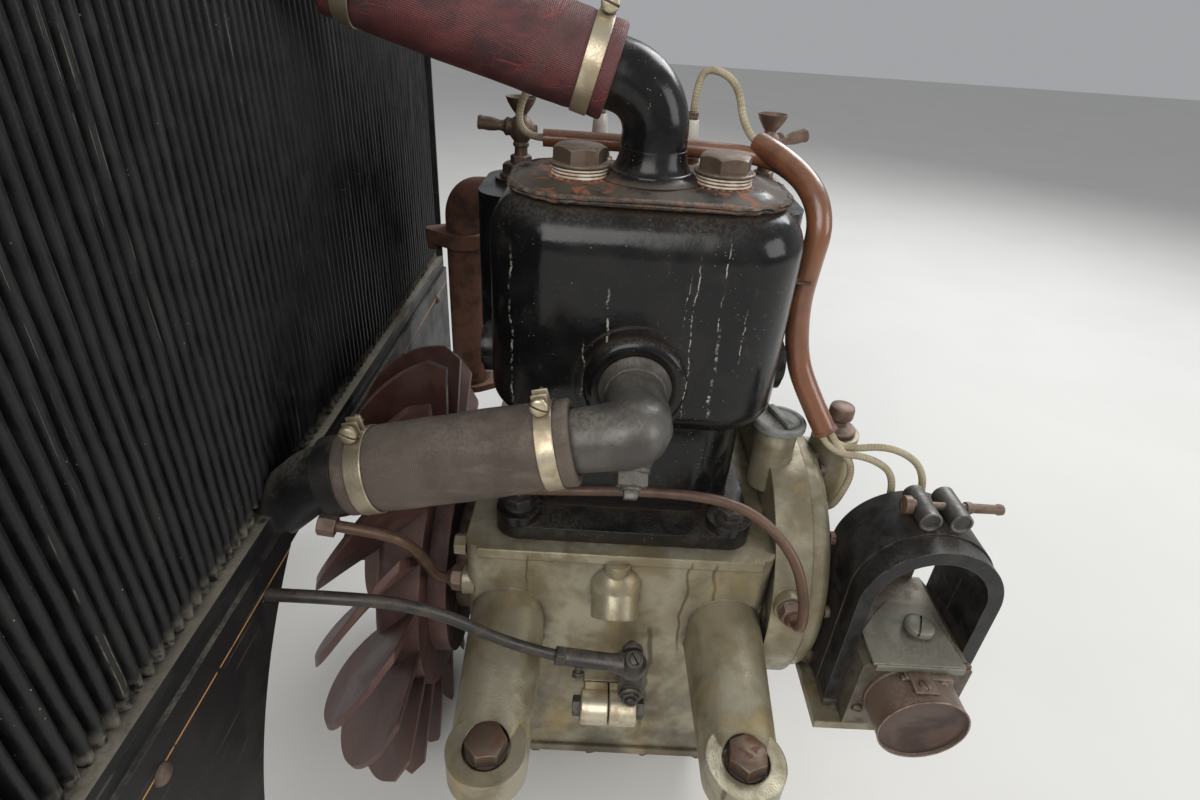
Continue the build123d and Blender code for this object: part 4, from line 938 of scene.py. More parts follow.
    def coil(
        self, place: Matrix, radius: float, wire: float, pitch: float, turns: float, steps: int = 18,
    ) -> None:
        """Winds a spring up along the place's own line."""
        with self.shape(place) as mesh:
            section = Matrix.Translation((radius, 0.0, 0.0)) @ Matrix.Rotation(math.pi / 2, 4, "X")
            bmesh.ops.create_circle(mesh, segments=8, radius=wire, matrix=section)
            count = round(steps * turns)
            bmesh.ops.spin(
                mesh, geom=mesh.verts[:] + mesh.edges[:], cent=(0.0, 0.0, 0.0), axis=UP,
                dvec=(0.0, 0.0, pitch / steps), angle=math.tau * turns, steps=count, use_merge=False,
            )
            bmesh.ops.holes_fill(mesh, edges=[edge for edge in mesh.edges if edge.is_boundary], sides=0)

    def pipe(self, points: Sequence[Point], radius: float) -> None:
        """Makes a bent pipe."""
        body = drawn(points, radius)[0]
        self.mesh.from_mesh(body)
        bpy.data.meshes.remove(body)

    def ripple(self, move: Callable[[Vector], Vector]) -> None:
        """Shifts every corner by what a function gives for its place."""
        for vert in self.mesh.verts:
            vert.co += move(vert.co)

    def unroll(self, place: Matrix, radius: float) -> None:
        """Lays every face on the unrolled surface, in metres round it and along it."""
        layer, back = self.mesh.loops.layers.uv.verify(), place.inverted()
        for face in self.mesh.faces:
            middle = back @ face.calc_center_median()
            about = math.atan2(middle.y, middle.x)
            for loop in face.loops:
                spot = back @ loop.vert.co
                turn = math.atan2(spot.y, spot.x)
                turn += math.tau * round((about - turn) / math.tau)
                loop[layer].uv = (turn * radius * MM, spot.z * MM)

    def close(
        self, name: str, finish: str, body: Body = Body.ENGINE, stands_for: Sequence[str] = (),
        sharp: float = 32.0,
    ) -> bpy.types.Object:
        """Finishes the piece: scales it to metres, smooths it up to an angle and installs it."""
        bmesh.ops.scale(self.mesh, vec=(MM, MM, MM), verts=self.mesh.verts)
        data = bpy.data.meshes.new(name)
        self.mesh.to_mesh(data)
        self.mesh.free()
        data.shade_smooth()
        data.set_sharp_from_angle(angle=math.radians(sharp))
        return install(name, data, finish, body, stands_for)


# The radiator


@dataclass
class RadiatorCore:
    """The upright tubes between the two tanks, each a little bent and dented, before a dark middle."""

    count: int = 78
    pitch: float = 8.6
    low: float = 164.0
    high: float = 443.0
    front: float = -227.6
    rear: float = -297.0
    half_width: float = 3.55
    half_depth: float = 7.5
    sections: int = 15
    bend: float = 0.9
    stub_y: float = -130.0
    stub_reach: float = 22.0
    stub_top: float = 172.0

    def tube(self, forge: Forge, x: float, y: float) -> None:
        """Draws one oval tube up from the lower tank, its foot drawn in."""
        behind_stub = abs(y - self.stub_y) < self.stub_reach and x > self.front - 2 * self.half_depth
        foot = self.stub_top if behind_stub else self.low
        with forge.shape(seat((x, y, foot))) as mesh:
            rim = bmesh.ops.create_circle(mesh, segments=12, radius=1.0)["verts"]
            bmesh.ops.scale(mesh, vec=(self.half_depth, self.half_width, 1.0), verts=rim)
            step = (self.high - foot) / self.sections
            edges = mesh.edges[:]
            for _ in range(self.sections):
                grown = bmesh.ops.extrude_edge_only(mesh, edges=edges)["geom"]
                edges = [part for part in grown if isinstance(part, bmesh.types.BMEdge)]
                bmesh.ops.translate(
                    mesh, vec=(0.0, 0.0, step),
                    verts=[p for p in grown if isinstance(p, bmesh.types.BMVert)],
                )
            for vert in rim:
                vert.co = (vert.co.x * 0.7, vert.co.y * 0.8, 0.0)
            near = [
                edge for edge in mesh.edges if 0.1 < abs(edge.verts[0].co.z - edge.verts[1].co.z)
                and min(edge.verts[0].co.z, edge.verts[1].co.z) < 0.1
            ]
            for split in bmesh.ops.bisect_edges(
                mesh, edges=near, cuts=1, edge_percents={e: 0.22 for e in near},
            )["geom_split"]:
                if isinstance(split, bmesh.types.BMVert):
                    split.co.x, split.co.y = split.co.x * 1.05, split.co.y * 1.05

    def sway(self, spot: Vector) -> Vector:
        """Gives how far a tube has been knocked aside at a place."""
        index = round(spot.y / self.pitch + 0.5)
        free = min(1.0, (spot.z - self.low) / 40.0, (self.high - spot.z) / 40.0)
        side = noise.noise((index * 3.7, spot.z * 0.011, 1.0)) * self.bend
        dent = noise.noise((index * 5.3, spot.z * 0.035, 7.0)) * self.bend * 0.9
        return Vector((dent * free, side * free, 0.0))

    def build(self) -> None:
        """Makes the tubes and the dark plates between them."""
        forge = Forge()
        first = -(self.count - 1) * self.pitch / 2
        for index in range(self.count):
            for x in (self.front - self.half_depth, self.rear + self.half_depth):
                self.tube(forge, x, first + index * self.pitch)
        forge.ripple(self.sway)
        reach = self.count * self.pitch / 2
        forge.slab((self.rear + 12, -reach, self.low - 1), (self.front - 12, reach, self.high + 1), 0.5)
        forge.close("core_tubes", "core_black", stands_for=["radiator_core"], sharp=60.0)


# Hoses and their clamps


@dataclass
class WaterHose:
    """A canvas hose pushed over its two pipes, pinched by a clamp near each end."""

    name: str
    finish: str
    corner: Point
    slope: float
    start: float
    end: float
    bore: float
    wall: float = 6.2
    band: float = 11.0
    inset: float = 9.0
    pinch: float = 0.9

    def __post_init__(self) -> None:
        """Works out the hose's line and its outer radius."""
        self.line = Vector((-1.0, 0.0, self.slope)).normalized()
        self.outer = self.bore + self.wall

    def at(self, distance: float) -> Matrix:
        """Gives the place at a distance from the pipes' corner, with its own X up."""
        side = Vector(NEAR)
        up = side.cross(self.line) * -1.0
        turn = Matrix((up, self.line.cross(up), self.line)).transposed().to_4x4()
        return Matrix.Translation(Vector(self.corner) + self.line * distance) @ turn

    def radius_at(self, along: float) -> float:
        """Gives the outer radius at a distance along the hose, drawn in at the clamps."""
        length = self.end - self.start
        centres = (self.inset + self.band / 2, length - self.inset - self.band / 2)
        squeeze = max(math.exp(-(((along - centre) / (self.band * 0.62)) ** 4)) for centre in centres)
        belly = math.sin(math.pi * along / length) * 0.5
        return self.outer + 0.45 + belly - squeeze * self.pinch

    def hose(self) -> None:
        """Makes the hose."""
        length = self.end - self.start
        places = [1.2 + (length - 2.4) * step / 60 for step in range(61)]
        skin = [(self.radius_at(along), along) for along in places]
        ends = [
            (self.outer - 0.7, length), (self.bore + 1.0, length), (self.bore, length - 1.0),
            (self.bore, 1.0),
        ]
        forge = Forge()
        place = self.at(self.start)
        forge.lathe(place, [(self.bore + 1.0, 0.0), (self.outer - 0.7, 0.0), *skin, *ends], 72, ring=True)
        back = place.inverted()

        def sag(spot: Vector) -> Vector:
            """Gives the small lumps and hollows of an old hose."""
            local = back @ spot
            if local.xy.length < self.bore + 2.0:
                return Vector()
            lump = noise.noise(spot * 0.035) * 0.7 + noise.noise(spot * 0.11) * 0.18
            return (spot - place @ Vector((0.0, 0.0, local.z))).normalized() * lump

        forge.ripple(sag)
        forge.unroll(place, self.outer)
        forge.close(self.name + "_canvas", self.finish, stands_for=[self.name], sharp=50.0)

    def clamp(self, which: str, distance: float) -> None:
        """Makes one clamp: a thin band, its two turned-up ends, and the slotted screw between them."""
        place, inner = self.at(distance), self.outer + 0.05
        forge = Forge()
        lip = 0.9
        outline = [
            (inner, 0.3), (inner, self.band - 0.3), (inner + lip, self.band),
            (inner + 1.3, self.band - 0.5), (inner + 1.3, 0.5), (inner + lip, 0.0),
        ]
        forge.lathe(place, outline, 64, ring=True)
        for side in (-1, 1):
            low = (inner - 0.2, side * 3.2 - 0.8, 0.6)
            forge.slab(low, (inner + 11.0, side * 3.2 + 0.8, self.band - 0.6), 0.7, place)
        forge.slab((inner + 0.4, -5.6, 1.4), (inner + 1.9, 5.6, self.band - 1.4), 0.5, place)
        middle = self.band / 2
        across = place @ Vector((inner + 6.2, -8.2, middle))
        heading = place.to_3x3() @ Vector((0.0, -1.0, 0.0))
        if heading.y > 0:
            across, heading = place @ Vector((inner + 6.2, 8.2, middle)), -heading
        forge.slotted(seat(across, heading, 70), 5.6, 2.6, 1.6, 1.3)
        forge.lathe(
            seat(across, heading), [(0.0, -18.0), (2.0, -18.0), (2.3, -17.0), (2.3, 0.2), (0.0, 0.2)], 14,
        )
        forge.lathe(seat(across, heading), [(0.0, -15.6), (4.2, -15.6), (4.2, -12.0), (0.0, -12.0)], 4)
        forge.close(
            f"{self.name.replace('hose', 'clamp')}_{which}_band", "clamp_brass",
            stands_for=[f"{self.name.replace('hose', 'clamp')}_{which}"],
        )

    def build(self) -> None:
        """Makes the hose and its two clamps."""
        self.hose()
        self.clamp("front", self.start + self.inset)
        self.clamp("rear", self.end - self.inset - self.band)


# The top of the block


@dataclass
class BlockTop:
    """The jacket's cover with its crusted seam, the two plugs on white rings, and the elbow's foot."""

    low: float = 344.0
    rim: float = 347.6
    high: float = 351.0
    half_x: float = 92.0
    half_y: float = 57.0
    corner: float = 46.0
    plug_x: float = 47.0
    plug_y: float = -14.0
    elbow_y: float = -8.0
    elbow_radius: float = 21.6

    def outline(self, inset: float, height: float, steps: int = 12) -> list[Point]:
        """Gives the points of a rounded rectangle that is drawn in by an inset."""
        radius = self.corner - inset
        points = []
        for quarter, (sx, sy) in enumerate(((1, 1), (-1, 1), (-1, -1), (1, -1))):
            for step in range(steps + 1):
                angle = math.radians(90 * quarter + 90 * step / steps)
                x = sx * (self.half_x - self.corner) + radius * math.cos(angle)
                y = sy * (self.half_y - self.corner) + radius * math.sin(angle)
                points.append((x, y, height))
        return points

    def cover(self) -> None:
        """Makes the cover: an upright rim, a hollow slope and a flat top."""
        levels = [
            (0.6, self.low), (0.0, self.low + 0.7), (0.0, self.rim - 1.0), (1.2, self.rim),
            (5.0, self.rim + 0.2), (9.0, self.rim + 1.0), (13.0, self.high - 0.9), (18.0, self.high),
        ]
        forge = Forge()
        with forge.shape() as mesh:
            loops = []
            for inset, height in levels:
                verts = [mesh.verts.new(point) for point in self.outline(inset, height)]
                loops.append([mesh.edges.new(pair) for pair in zip(verts, verts[1:] + verts[:1])])
            for lower, upper in zip(loops, loops[1:]):
                bmesh.ops.bridge_loops(mesh, edges=lower + upper)
            bmesh.ops.holes_fill(mesh, edges=loops[0] + loops[-1], sides=0)
        forge.close("cover_casting", "black_enamel", stands_for=["jacket_cover"], sharp=40.0)

        crust = Forge()
        with crust.shape() as mesh:
            loops = []
            for inset, height in (
                (1.4, 342.6), (-1.6, 343.2), (-2.6, 344.4), (-0.9, 345.0), (-2.2, 346.0), (-1.0, 347.4),
                (1.4, 347.9),
            ):
                verts = [mesh.verts.new(point) for point in self.outline(inset, height, 24)]
                loops.append([mesh.edges.new(pair) for pair in zip(verts, verts[1:] + verts[:1])])
            for lower, upper in zip(loops, loops[1:]):
                bmesh.ops.bridge_loops(mesh, edges=lower + upper)
            bmesh.ops.bridge_loops(mesh, edges=loops[-1] + loops[0])
            bmesh.ops.subdivide_edges(mesh, edges=mesh.edges[:], cuts=1, use_grid_fill=True)

        def ragged(spot: Vector) -> Vector:
            """Gives the seam's ragged edge."""
            push = noise.noise(spot * 0.22) * 1.7 + noise.noise(spot * 0.8) * 1.0
            lift = noise.noise(spot * 0.12) * 1.1 + noise.noise(spot * 0.6) * 0.6
            return Vector((spot.x, spot.y, 0.0)).normalized() * push + Vector((0.0, 0.0, lift))

        crust.ripple(ragged)
        crust.close("cover_seam", "seam_crust", sharp=60.0)

    def plugs(self) -> None:
        """Makes the two hexagon plugs, each on its stack of white rings."""
        rings, heads, beads = Forge(), Forge(), Forge()
        for x in (-self.plug_x, self.plug_x):
            place = seat((x, self.plug_y, self.high), turn=9.0 if x < 0 else 17.0)
            for height, radius in ((0.0, 18.6), (2.25, 18.3), (4.5, 18.5)):
                outline = [
                    (0.0, height), (radius - 1.0, height), (radius, height + 0.6),
                    (radius + 0.1, height + 1.1), (radius - 0.1, height + 1.7),
                    (radius - 1.1, height + 2.2), (0.0, height + 2.2),
                ]
                rings.lathe(place, outline, 40)
            foot = seat((x, self.plug_y, self.high + 6.8))
            heads.lathe(
                foot, [(0.0, 0.0), (19.4, 0.0), (20.0, 0.6), (20.0, 1.6), (19.2, 2.2), (0.0, 2.4)], 44,
            )
            heads.hexagon(seat((x, self.plug_y, self.high + 8.8), turn=12.0), 31.0, 10.0, 0.96)
            for step in range(26):
                angle = math.tau * step / 26 + noise.noise((x, step * 2.0, 0.0))
                reach = 19.0 + noise.noise((step * 1.7, x, 3.0)) * 3.5
                size = 1.6 + abs(noise.noise((step * 3.1, x, 9.0))) * 3.2
                spot = (x + reach * math.cos(angle), self.plug_y + reach * math.sin(angle), self.high - 0.4)
                outline = [
                    (0.0, 0.0), (size, 0.0), (size * 0.8, size * 0.25), (size * 0.4, size * 0.42),
                    (0.0, size * 0.46),
                ]
                beads.lathe(seat(spot), outline, 9)
        rings.close("plug_rings", "white_gasket", stands_for=["plug_gaskets"])
        heads.close("plug_heads", "dull_bronze", stands_for=["jacket_plugs"])
        beads.ripple(
            lambda spot: Vector((noise.noise(spot * 0.8), noise.noise(spot * 0.8 + Vector((9, 9, 9))),
                                 0.0)) * 0.8
        )
        beads.close("plug_rust", "rust_beads", sharp=60.0)

    def elbow_foot(self) -> None:
        """Makes the hollow flare between the cover and the outlet elbow."""
        forge = Forge()
        base = self.elbow_radius
        outline = [
            (base - 1.0, 0.2), (base + 13.5, 0.2), (base + 11.0, 1.2), (base + 8.0, 2.6),
            (base + 5.0, 5.0), (base + 2.6, 8.6), (base + 1.0, 13.0), (base + 0.2, 19.0),
            (base - 1.0, 19.0),
        ]
        forge.lathe(seat((0.0, self.elbow_y, self.high)), outline, 56, ring=True)
        forge.close("elbow_foot", "black_enamel", sharp=50.0)

    def build(self) -> None:
        """Makes the cover and what stands on it."""
        self.cover()
        self.plugs()
        self.elbow_foot()


# Leads


@dataclass
class Lead:
    """One braided ignition lead, from its exit to the terminal it is screwed to."""

    name: str
    points: tuple[Point, ...]
    length: float
    radius: float = 2.8

    def build(self, first: bool) -> None:
        """Draws the lead as one smooth curve and gives it its braid.

        Args:
            first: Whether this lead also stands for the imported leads.
        """
        data, path = drawn([tuple(Vector(point) * MM) for point in self.points], self.radius * MM)
        measured = sum((Vector(a) - Vector(b)).length for a, b in zip(path, path[1:]))
        for place in data.uv_layers[0].data:
            place.uv = (place.uv.y * math.tau * self.radius * MM, place.uv.x * measured)
        data.shade_smooth()
        piece = install(self.name, data, "lead_khaki", stands_for=["ignition_leads"] if first else ())
        path[0]
        log.info("%s measures %.1f mm", self.name, measured / MM)


LEADS = (
    Lead(
        "lead_front_plug",
        ((36, 98, 380), (36, 98, 397), (42, 98, 412), (66, 90, 404), (73, 77, 371), (84, 67, 364)),
        104.5,
    ),
    Lead(
        "lead_rear_plug",
        ((-36, 98, 380), (-36, 98, 397), (-48, 97, 408), (-92, 82, 396), (-100, 70, 358.3), (-78, 70, 358)),
        126.7,
    ),
    Lead(
        "lead_earth",
        ((156.0, -21.0, 173.2), (165, -26, 160), (181, -36, 146), (176, -33, 108), (172, -26, 96),
         (166, -26, 96)),
        94.0,
    ),
    Lead(
        "lead_near",
        ((153.0, -23.0, 166.0), (162, -28, 153), (190, -38, 158), (212, -43, 144), (212, -43, 118)),
        92.0,
    ),
    Lead(
        "lead_far",
        ((159.0, -19.0, 166.0), (168, -24, 153), (206, -34, 168), (236, -43, 150), (236, -43, 118)),
        115.0,
    ),
)


# The conduit and the small pipes


@dataclass
class Plumbing:
    """The ignition conduit with its branch and strap, and the two oil pipes with their unions."""

    wall_y: float = -96.0
    conduit_radius: float = 9.0
    branch_radius: float = 6.5
    oil_radius: float = 3.8
    flats: float = 17.0
    route: tuple[Point, ...] = (
        (84, 67, 364), (108, 34, 356), (124, 3, 330), (120, 1, 290), (119, 0, 262), (126, -2, 222),
        (138, -11, 197), (156, -21, 168),
    )
    branch: tuple[Point, ...] = (
        (118, 20, 340), (106, 44, 352), (84, 66, 356), (48, 70, 357), (-20, 70, 358), (-78, 70, 358),
    )

    def conduit(self) -> None:
        """Makes the conduit, the branch that runs to the rear plug, its strap and its lip."""
        forge = Forge()
        forge.pipe(self.route, self.conduit_radius)
        forge.pipe(self.branch, self.branch_radius)
        mouth = (Vector(self.route[-1]) - Vector(self.route[-2])).normalized()
        r = self.conduit_radius
        forge.lathe(
            seat(Vector(self.route[-1]) - mouth * 3.0, mouth),
            [(r - 1.0, 0.0), (r + 0.5, 0.4), (r + 0.6, 2.6), (r - 0.2, 3.4), (r - 1.8, 3.4),
             (r - 2.0, 0.0)], 32, ring=True,
        )
        forge.close("conduit_tube", "conduit_brown", stands_for=["ignition_conduit"], sharp=60.0)
        strap = Forge()
        strap.slab((104.0, -11.0, 284.4), (122.0, 11.0, 285.8), 0.5)
        strap.slotted(seat((110.0, -6.0, 285.6), UP, 35.0), 3.6, 1.6, 1.0, 0.9, 22)
        strap.close("conduit_strap", "old_steel")

    def oil_pipe(self, name: str, union: Point, heading: Point, points: Sequence[Point]) -> None:
        """Makes one oil pipe with the nut that holds it and the one at its far end.

        Args:
            name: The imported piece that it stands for.
            union: Where the union is seated.
            heading: The way the union faces.
            points: The places that bend the pipe, after the union.
        """
        way = Vector(heading)
        forge = Forge()
        forge.pipe([tuple(Vector(union) + way * 9.0), *points], self.oil_radius)
        last = (Vector(points[-1]) - Vector(points[-2])).normalized()
        forge.lathe(
            seat(Vector(union) + way * 8.6, heading),
            [(0.0, 0.0), (6.9, 0.0), (6.7, 2.4), (4.6, 5.4), (0.0, 5.6)], 28,
        )
        forge.close(name + "_bent", "copper_pipe", stands_for=[name], sharp=50.0)
        nuts = Forge()
        nuts.lathe(seat(union, heading), [(0.0, 0.0), (9.6, 0.0), (9.8, 0.8), (9.0, 1.4), (0.0, 1.6)], 30)
        nuts.hexagon(seat(Vector(union) + way * 1.2, heading, 14.0), self.flats, 8.2)
        nuts.hexagon(seat(Vector(points[-1]) - last * 4.0, last, 10.0), 13.0, 11.0)
        nuts.close(name + "_unions", "cap_brown")

    def build(self) -> None:
        """Makes the conduit and both pipes."""
        self.conduit()
        self.oil_pipe(
            "oil_pipe_front", (129.0, -110.0, 64.0), NEAR,
            ((129, -134, 66), (128, -136, 92), (118, -120, 128), (84, -100, 153), (30, -96, 159),
             (-60, -96, 154), (-136, -96, 150)),
        )
        self.oil_pipe(
            "oil_pipe_rear", (-122.0, self.wall_y + 12.0, 52.0), (-1.0, 0.0, 0.0),
            ((-141, -92, 58), (-143, -112, 98), (-146, -138, 138), (-164, -141, 148), (-192, -142, 153)),
        )


# The magneto


@dataclass
class Magneto:
    """What stands on and round the two horseshoe magnets."""

    middle_x: float = 224.0
    spring_z: float = 86.0
    radius: float = 52.3
    wall: float = 1.2
    near_y: float = -102.5
    far_y: float = -68.5
    foot_z: float = -24.0
    barrel_z: float = 149.0
    barrel_x: float = 11.0
    barrel_radius: float = 8.0
    front_y: float = -137.0
    plate_z: float = 47.0
    axle_z: float = 10.0
    cap_radius: float = 33.0
    cap_length: float = 31.0

    def band(self) -> None:
        """Makes the thin steel band over the magnets, its ends rolled into two barrels."""
        forge = Forge()
        with forge.shape() as mesh:
            x, wall = self.middle_x + self.radius, self.wall
            corners = [(x, self.near_y), (x + wall, self.near_y), (x + wall, self.far_y), (x, self.far_y)]
            face = mesh.faces.new([mesh.verts.new((px, py, self.spring_z)) for px, py in corners])
            spun = bmesh.ops.spin(
                mesh, geom=[face, *face.edges, *face.verts], cent=(self.middle_x, 0.0, self.spring_z),
                axis=NEAR, angle=math.pi, steps=40, use_merge=False,
            )
            last = [part for part in spun["geom_last"] if isinstance(part, bmesh.types.BMFace)]
            for end in ([face], last):
                grown = bmesh.ops.extrude_face_region(mesh, geom=end)["geom"]
                drop = (0.0, 0.0, self.foot_z - self.spring_z)
                bmesh.ops.translate(
                    mesh, vec=drop, verts=[part for part in grown if isinstance(part, bmesh.types.BMVert)],
                )
                if end[0].is_valid:
                    bmesh.ops.delete(mesh, geom=end, context="FACES_ONLY")
        forge.ripple(lambda spot: Vector((0.0, 0.0, noise.noise(spot * 0.05) * 0.25)))
        length = self.far_y - self.near_y
        barrels = Forge()
        for side in (-1, 1):
            spot = (self.middle_x + side * self.barrel_x, self.near_y, self.barrel_z)
            r = self.barrel_radius
            outline = [
                (0.0, 1.6), (r - 2.2, 1.6), (r - 1.8, 0.4), (r - 1.0, 0.0), (r, 0.5), (r, length - 0.5),
                (r - 1.0, length), (r - 1.8, length - 0.4), (r - 2.2, length - 1.6), (0.0, length - 1.6),
            ]
            barrels.lathe(seat(spot, (0.0, 1.0, 0.0)), outline, 36)
            foot = (self.middle_x + side * 3.0, self.spring_z + self.radius)
            tip = (self.middle_x + side * (self.barrel_x - 1.0), self.barrel_z - r + 0.6)
            slant = [
                (foot[0] - side * 1.2, foot[1] - 1.0), (foot[0] + side * 9.0, foot[1] - 1.6),
                (tip[0] + side * 2.0, tip[1]), (tip[0] - side * 4.5, tip[1] + 1.4),
            ]
            forge.sheet(
                seat((0.0, self.far_y - 0.3, 0.0), NEAR), [(px, pz) for px, pz in slant], length - 0.6, 0.3,
            )
        forge.close("magnet_band", "magnet_black", stands_for=["magnet_strap"], sharp=38.0)
        barrels.close("band_barrels", "barrel_steel", sharp=38.0)

        bolt = Forge()
        middle = (self.near_y + self.far_y) / 2
        reach = self.barrel_x + self.barrel_radius
        head = (self.middle_x - reach - 1.0, middle, self.barrel_z + 2.0)
        bolt.slotted(seat(head, (-1.0, 0.0, 0.0), 40.0), 6.8, 5.0, 1.2, 1.5)
        bolt.lathe(seat(head, (-1.0, 0.0, 0.0)), [(0.0, -3.0), (4.6, -3.0), (4.6, 2.0), (0.0, 2.0)], 20)
        bolt.lathe(
            seat(head, (1.0, 0.0, 0.0)),
            [(0.0, 0.0), (3.2, 0.0), (3.2, 2 * reach + 6.0), (0.0, 2 * reach + 6.0)], 18,
        )
        tail = (self.middle_x + reach + 1.0, middle, self.barrel_z + 2.0)
        outline = [
            (0.0, 0.0), (4.4, 0.0), (4.4, 4.0), (3.6, 5.0), (3.4, 22.0), (4.2, 24.0), (3.9, 27.0),
            (2.6, 28.0), (0.0, 28.2),
        ]
        bolt.lathe(seat(tail, (1.0, 0.0, 0.0)), outline, 20)
        bolt.close("band_bolt", "cap_brown")

    def plate(self) -> None:
        """Makes the cover plate with its folded lip, the big slotted screw and the two tabs."""
        forge = Forge()
        x, y = self.middle_x, self.front_y
        outline = [
            (x - 38, y - 6), (x + 30, y - 6), (x + 24, -86.0), (x - 10, -84.0), (x - 24, -98.0),
            (x - 38, -114.0),
        ]
        forge.sheet(Matrix.Translation((0.0, 0.0, self.plate_z)), outline, 2.6, 0.5)
        forge.slab((x - 36, y - 7.6, self.plate_z - 4.0), (x + 29, y - 5.8, self.plate_z + 2.2), 0.6)
        forge.slab((x - 30, y - 3.0, self.plate_z - 4.2), (x + 24, y + 20, self.plate_z + 0.3), 0.8)
        forge.close("cover_plate", "plate_green", stands_for=["magneto_plate"])

        brass = Forge()
        spot = (x + 5, -112.0, self.plate_z + 2.4)
        brass.lathe(
            seat(spot), [(0.0, 0.0), (8.2, 0.0), (8.2, 1.2), (6.8, 1.4), (6.8, 4.6), (0.0, 4.6)], 30,
        )
        brass.slotted(
            seat((spot[0], spot[1], spot[2] + 4.4), (0.06, 0.05, 1.0), 25.0), 11.2, 3.4, 3.0, 1.6, 44,
        )
        brass.close("plate_screw", "plate_green")

        tabs = Forge()
        tabs.slab((x - 17, y - 12.0, self.plate_z - 12.0), (x + 21, y - 7.4, self.plate_z - 5.6), 0.7)
        tabs.slab((x - 15, y - 12.4, self.plate_z - 5.8), (x + 19, y - 6.6, self.plate_z - 3.9), 0.5)
        low = self.axle_z + self.cap_radius
        tabs.slab((x - 13, y - 25.0, low - 0.4), (x + 4, y - 4.0, low + 1.2), 0.5)
        tabs.slab((x - 13, y - 13.0, low - 0.2), (x + 4, y - 11.4, self.plate_z - 6.0), 0.5)
        tabs.slotted(seat((x + 13, y - 12.0, self.plate_z - 8.8), NEAR, 60.0), 3.6, 1.6, 1.4, 0.9, 24)
        tabs.slotted(seat((x - 5, y - 19.0, low + 1.0), UP, 20.0), 4.0, 1.4, 1.3, 0.9, 24)
        tabs.close("plate_tabs", "breaker_copper")

    def cap(self) -> None:
        """Makes the breaker's cap: a drawn copper cup with a thin bright rim."""
        r, end = self.cap_radius, self.cap_length
        outline = [
            (0.0, 0.0), (r + 0.1, 0.0), (r + 0.1, 2.4), (r - 0.5, 3.2), (r - 0.5, end - 1.4),
            (r, end - 0.8), (r, end - 0.2), (r - 0.5, end), (r - 1.2, end - 0.2), (r - 1.4, end - 2.6),
            (r - 3.0, end - 3.2), (0.0, end - 3.2),
        ]
        dish = [
            (0.0, end - 3.1), (r - 1.5, end - 3.1), (r - 1.7, end - 2.5), (r - 4.0, end - 2.9),
            (r - 10.0, end - 2.3), (r - 11.0, end - 2.7), (8.0, end - 2.5), (6.5, end - 2.9),
            (0.0, end - 2.9),
        ]
        forge = Forge()
        forge.lathe(seat((self.middle_x, self.front_y, self.axle_z), NEAR), outline, 72)
        forge.ripple(
            lambda spot: Vector((noise.noise(spot * 0.04), 0.0,
                                 noise.noise(spot * 0.04 + Vector((5, 5, 5))))) * 0.35
        )
        forge.close("breaker_cup", "breaker_copper", stands_for=["breaker_cap"], sharp=30.0)
        floor = Forge()
        floor.lathe(seat((self.middle_x, self.front_y, self.axle_z), NEAR), dish, 72)
        floor.close("breaker_dish", "breaker_dark", sharp=30.0)

    def screws(self) -> None:
        """Makes the screws of the body's front and of the bracket."""
        forge = Forge()
        for dx, dz in ((-33, 34), (33, 34), (-34, -20), (34, -20)):
            forge.slotted(
                seat((self.middle_x + dx, self.front_y + 0.2, self.axle_z + dz), NEAR, dx * 3.0), 4.2, 1.8,
                1.5, 1.0, 26,
            )
        for dx in (-44, 44):
            for y in (-96.0, -60.0):
                forge.hexagon(seat((self.middle_x + dx, y, -24.2), UP, y), 8.0, 4.5)
        forge.hexagon(seat((167.0, -78.0, -18.0), NEAR, 14.0), 14.0, 8.0)
        forge.lathe(
            seat((167.0, -78.0, -18.0), NEAR), [(0.0, -0.4), (8.6, -0.4), (8.6, 1.2), (0.0, 1.2)], 26,
        )
        forge.close("magneto_screws", "old_steel")

    def build(self) -> None:
        """Makes all of it."""
        self.band()
        self.plate()
        self.cap()
        self.screws()


# The valve side


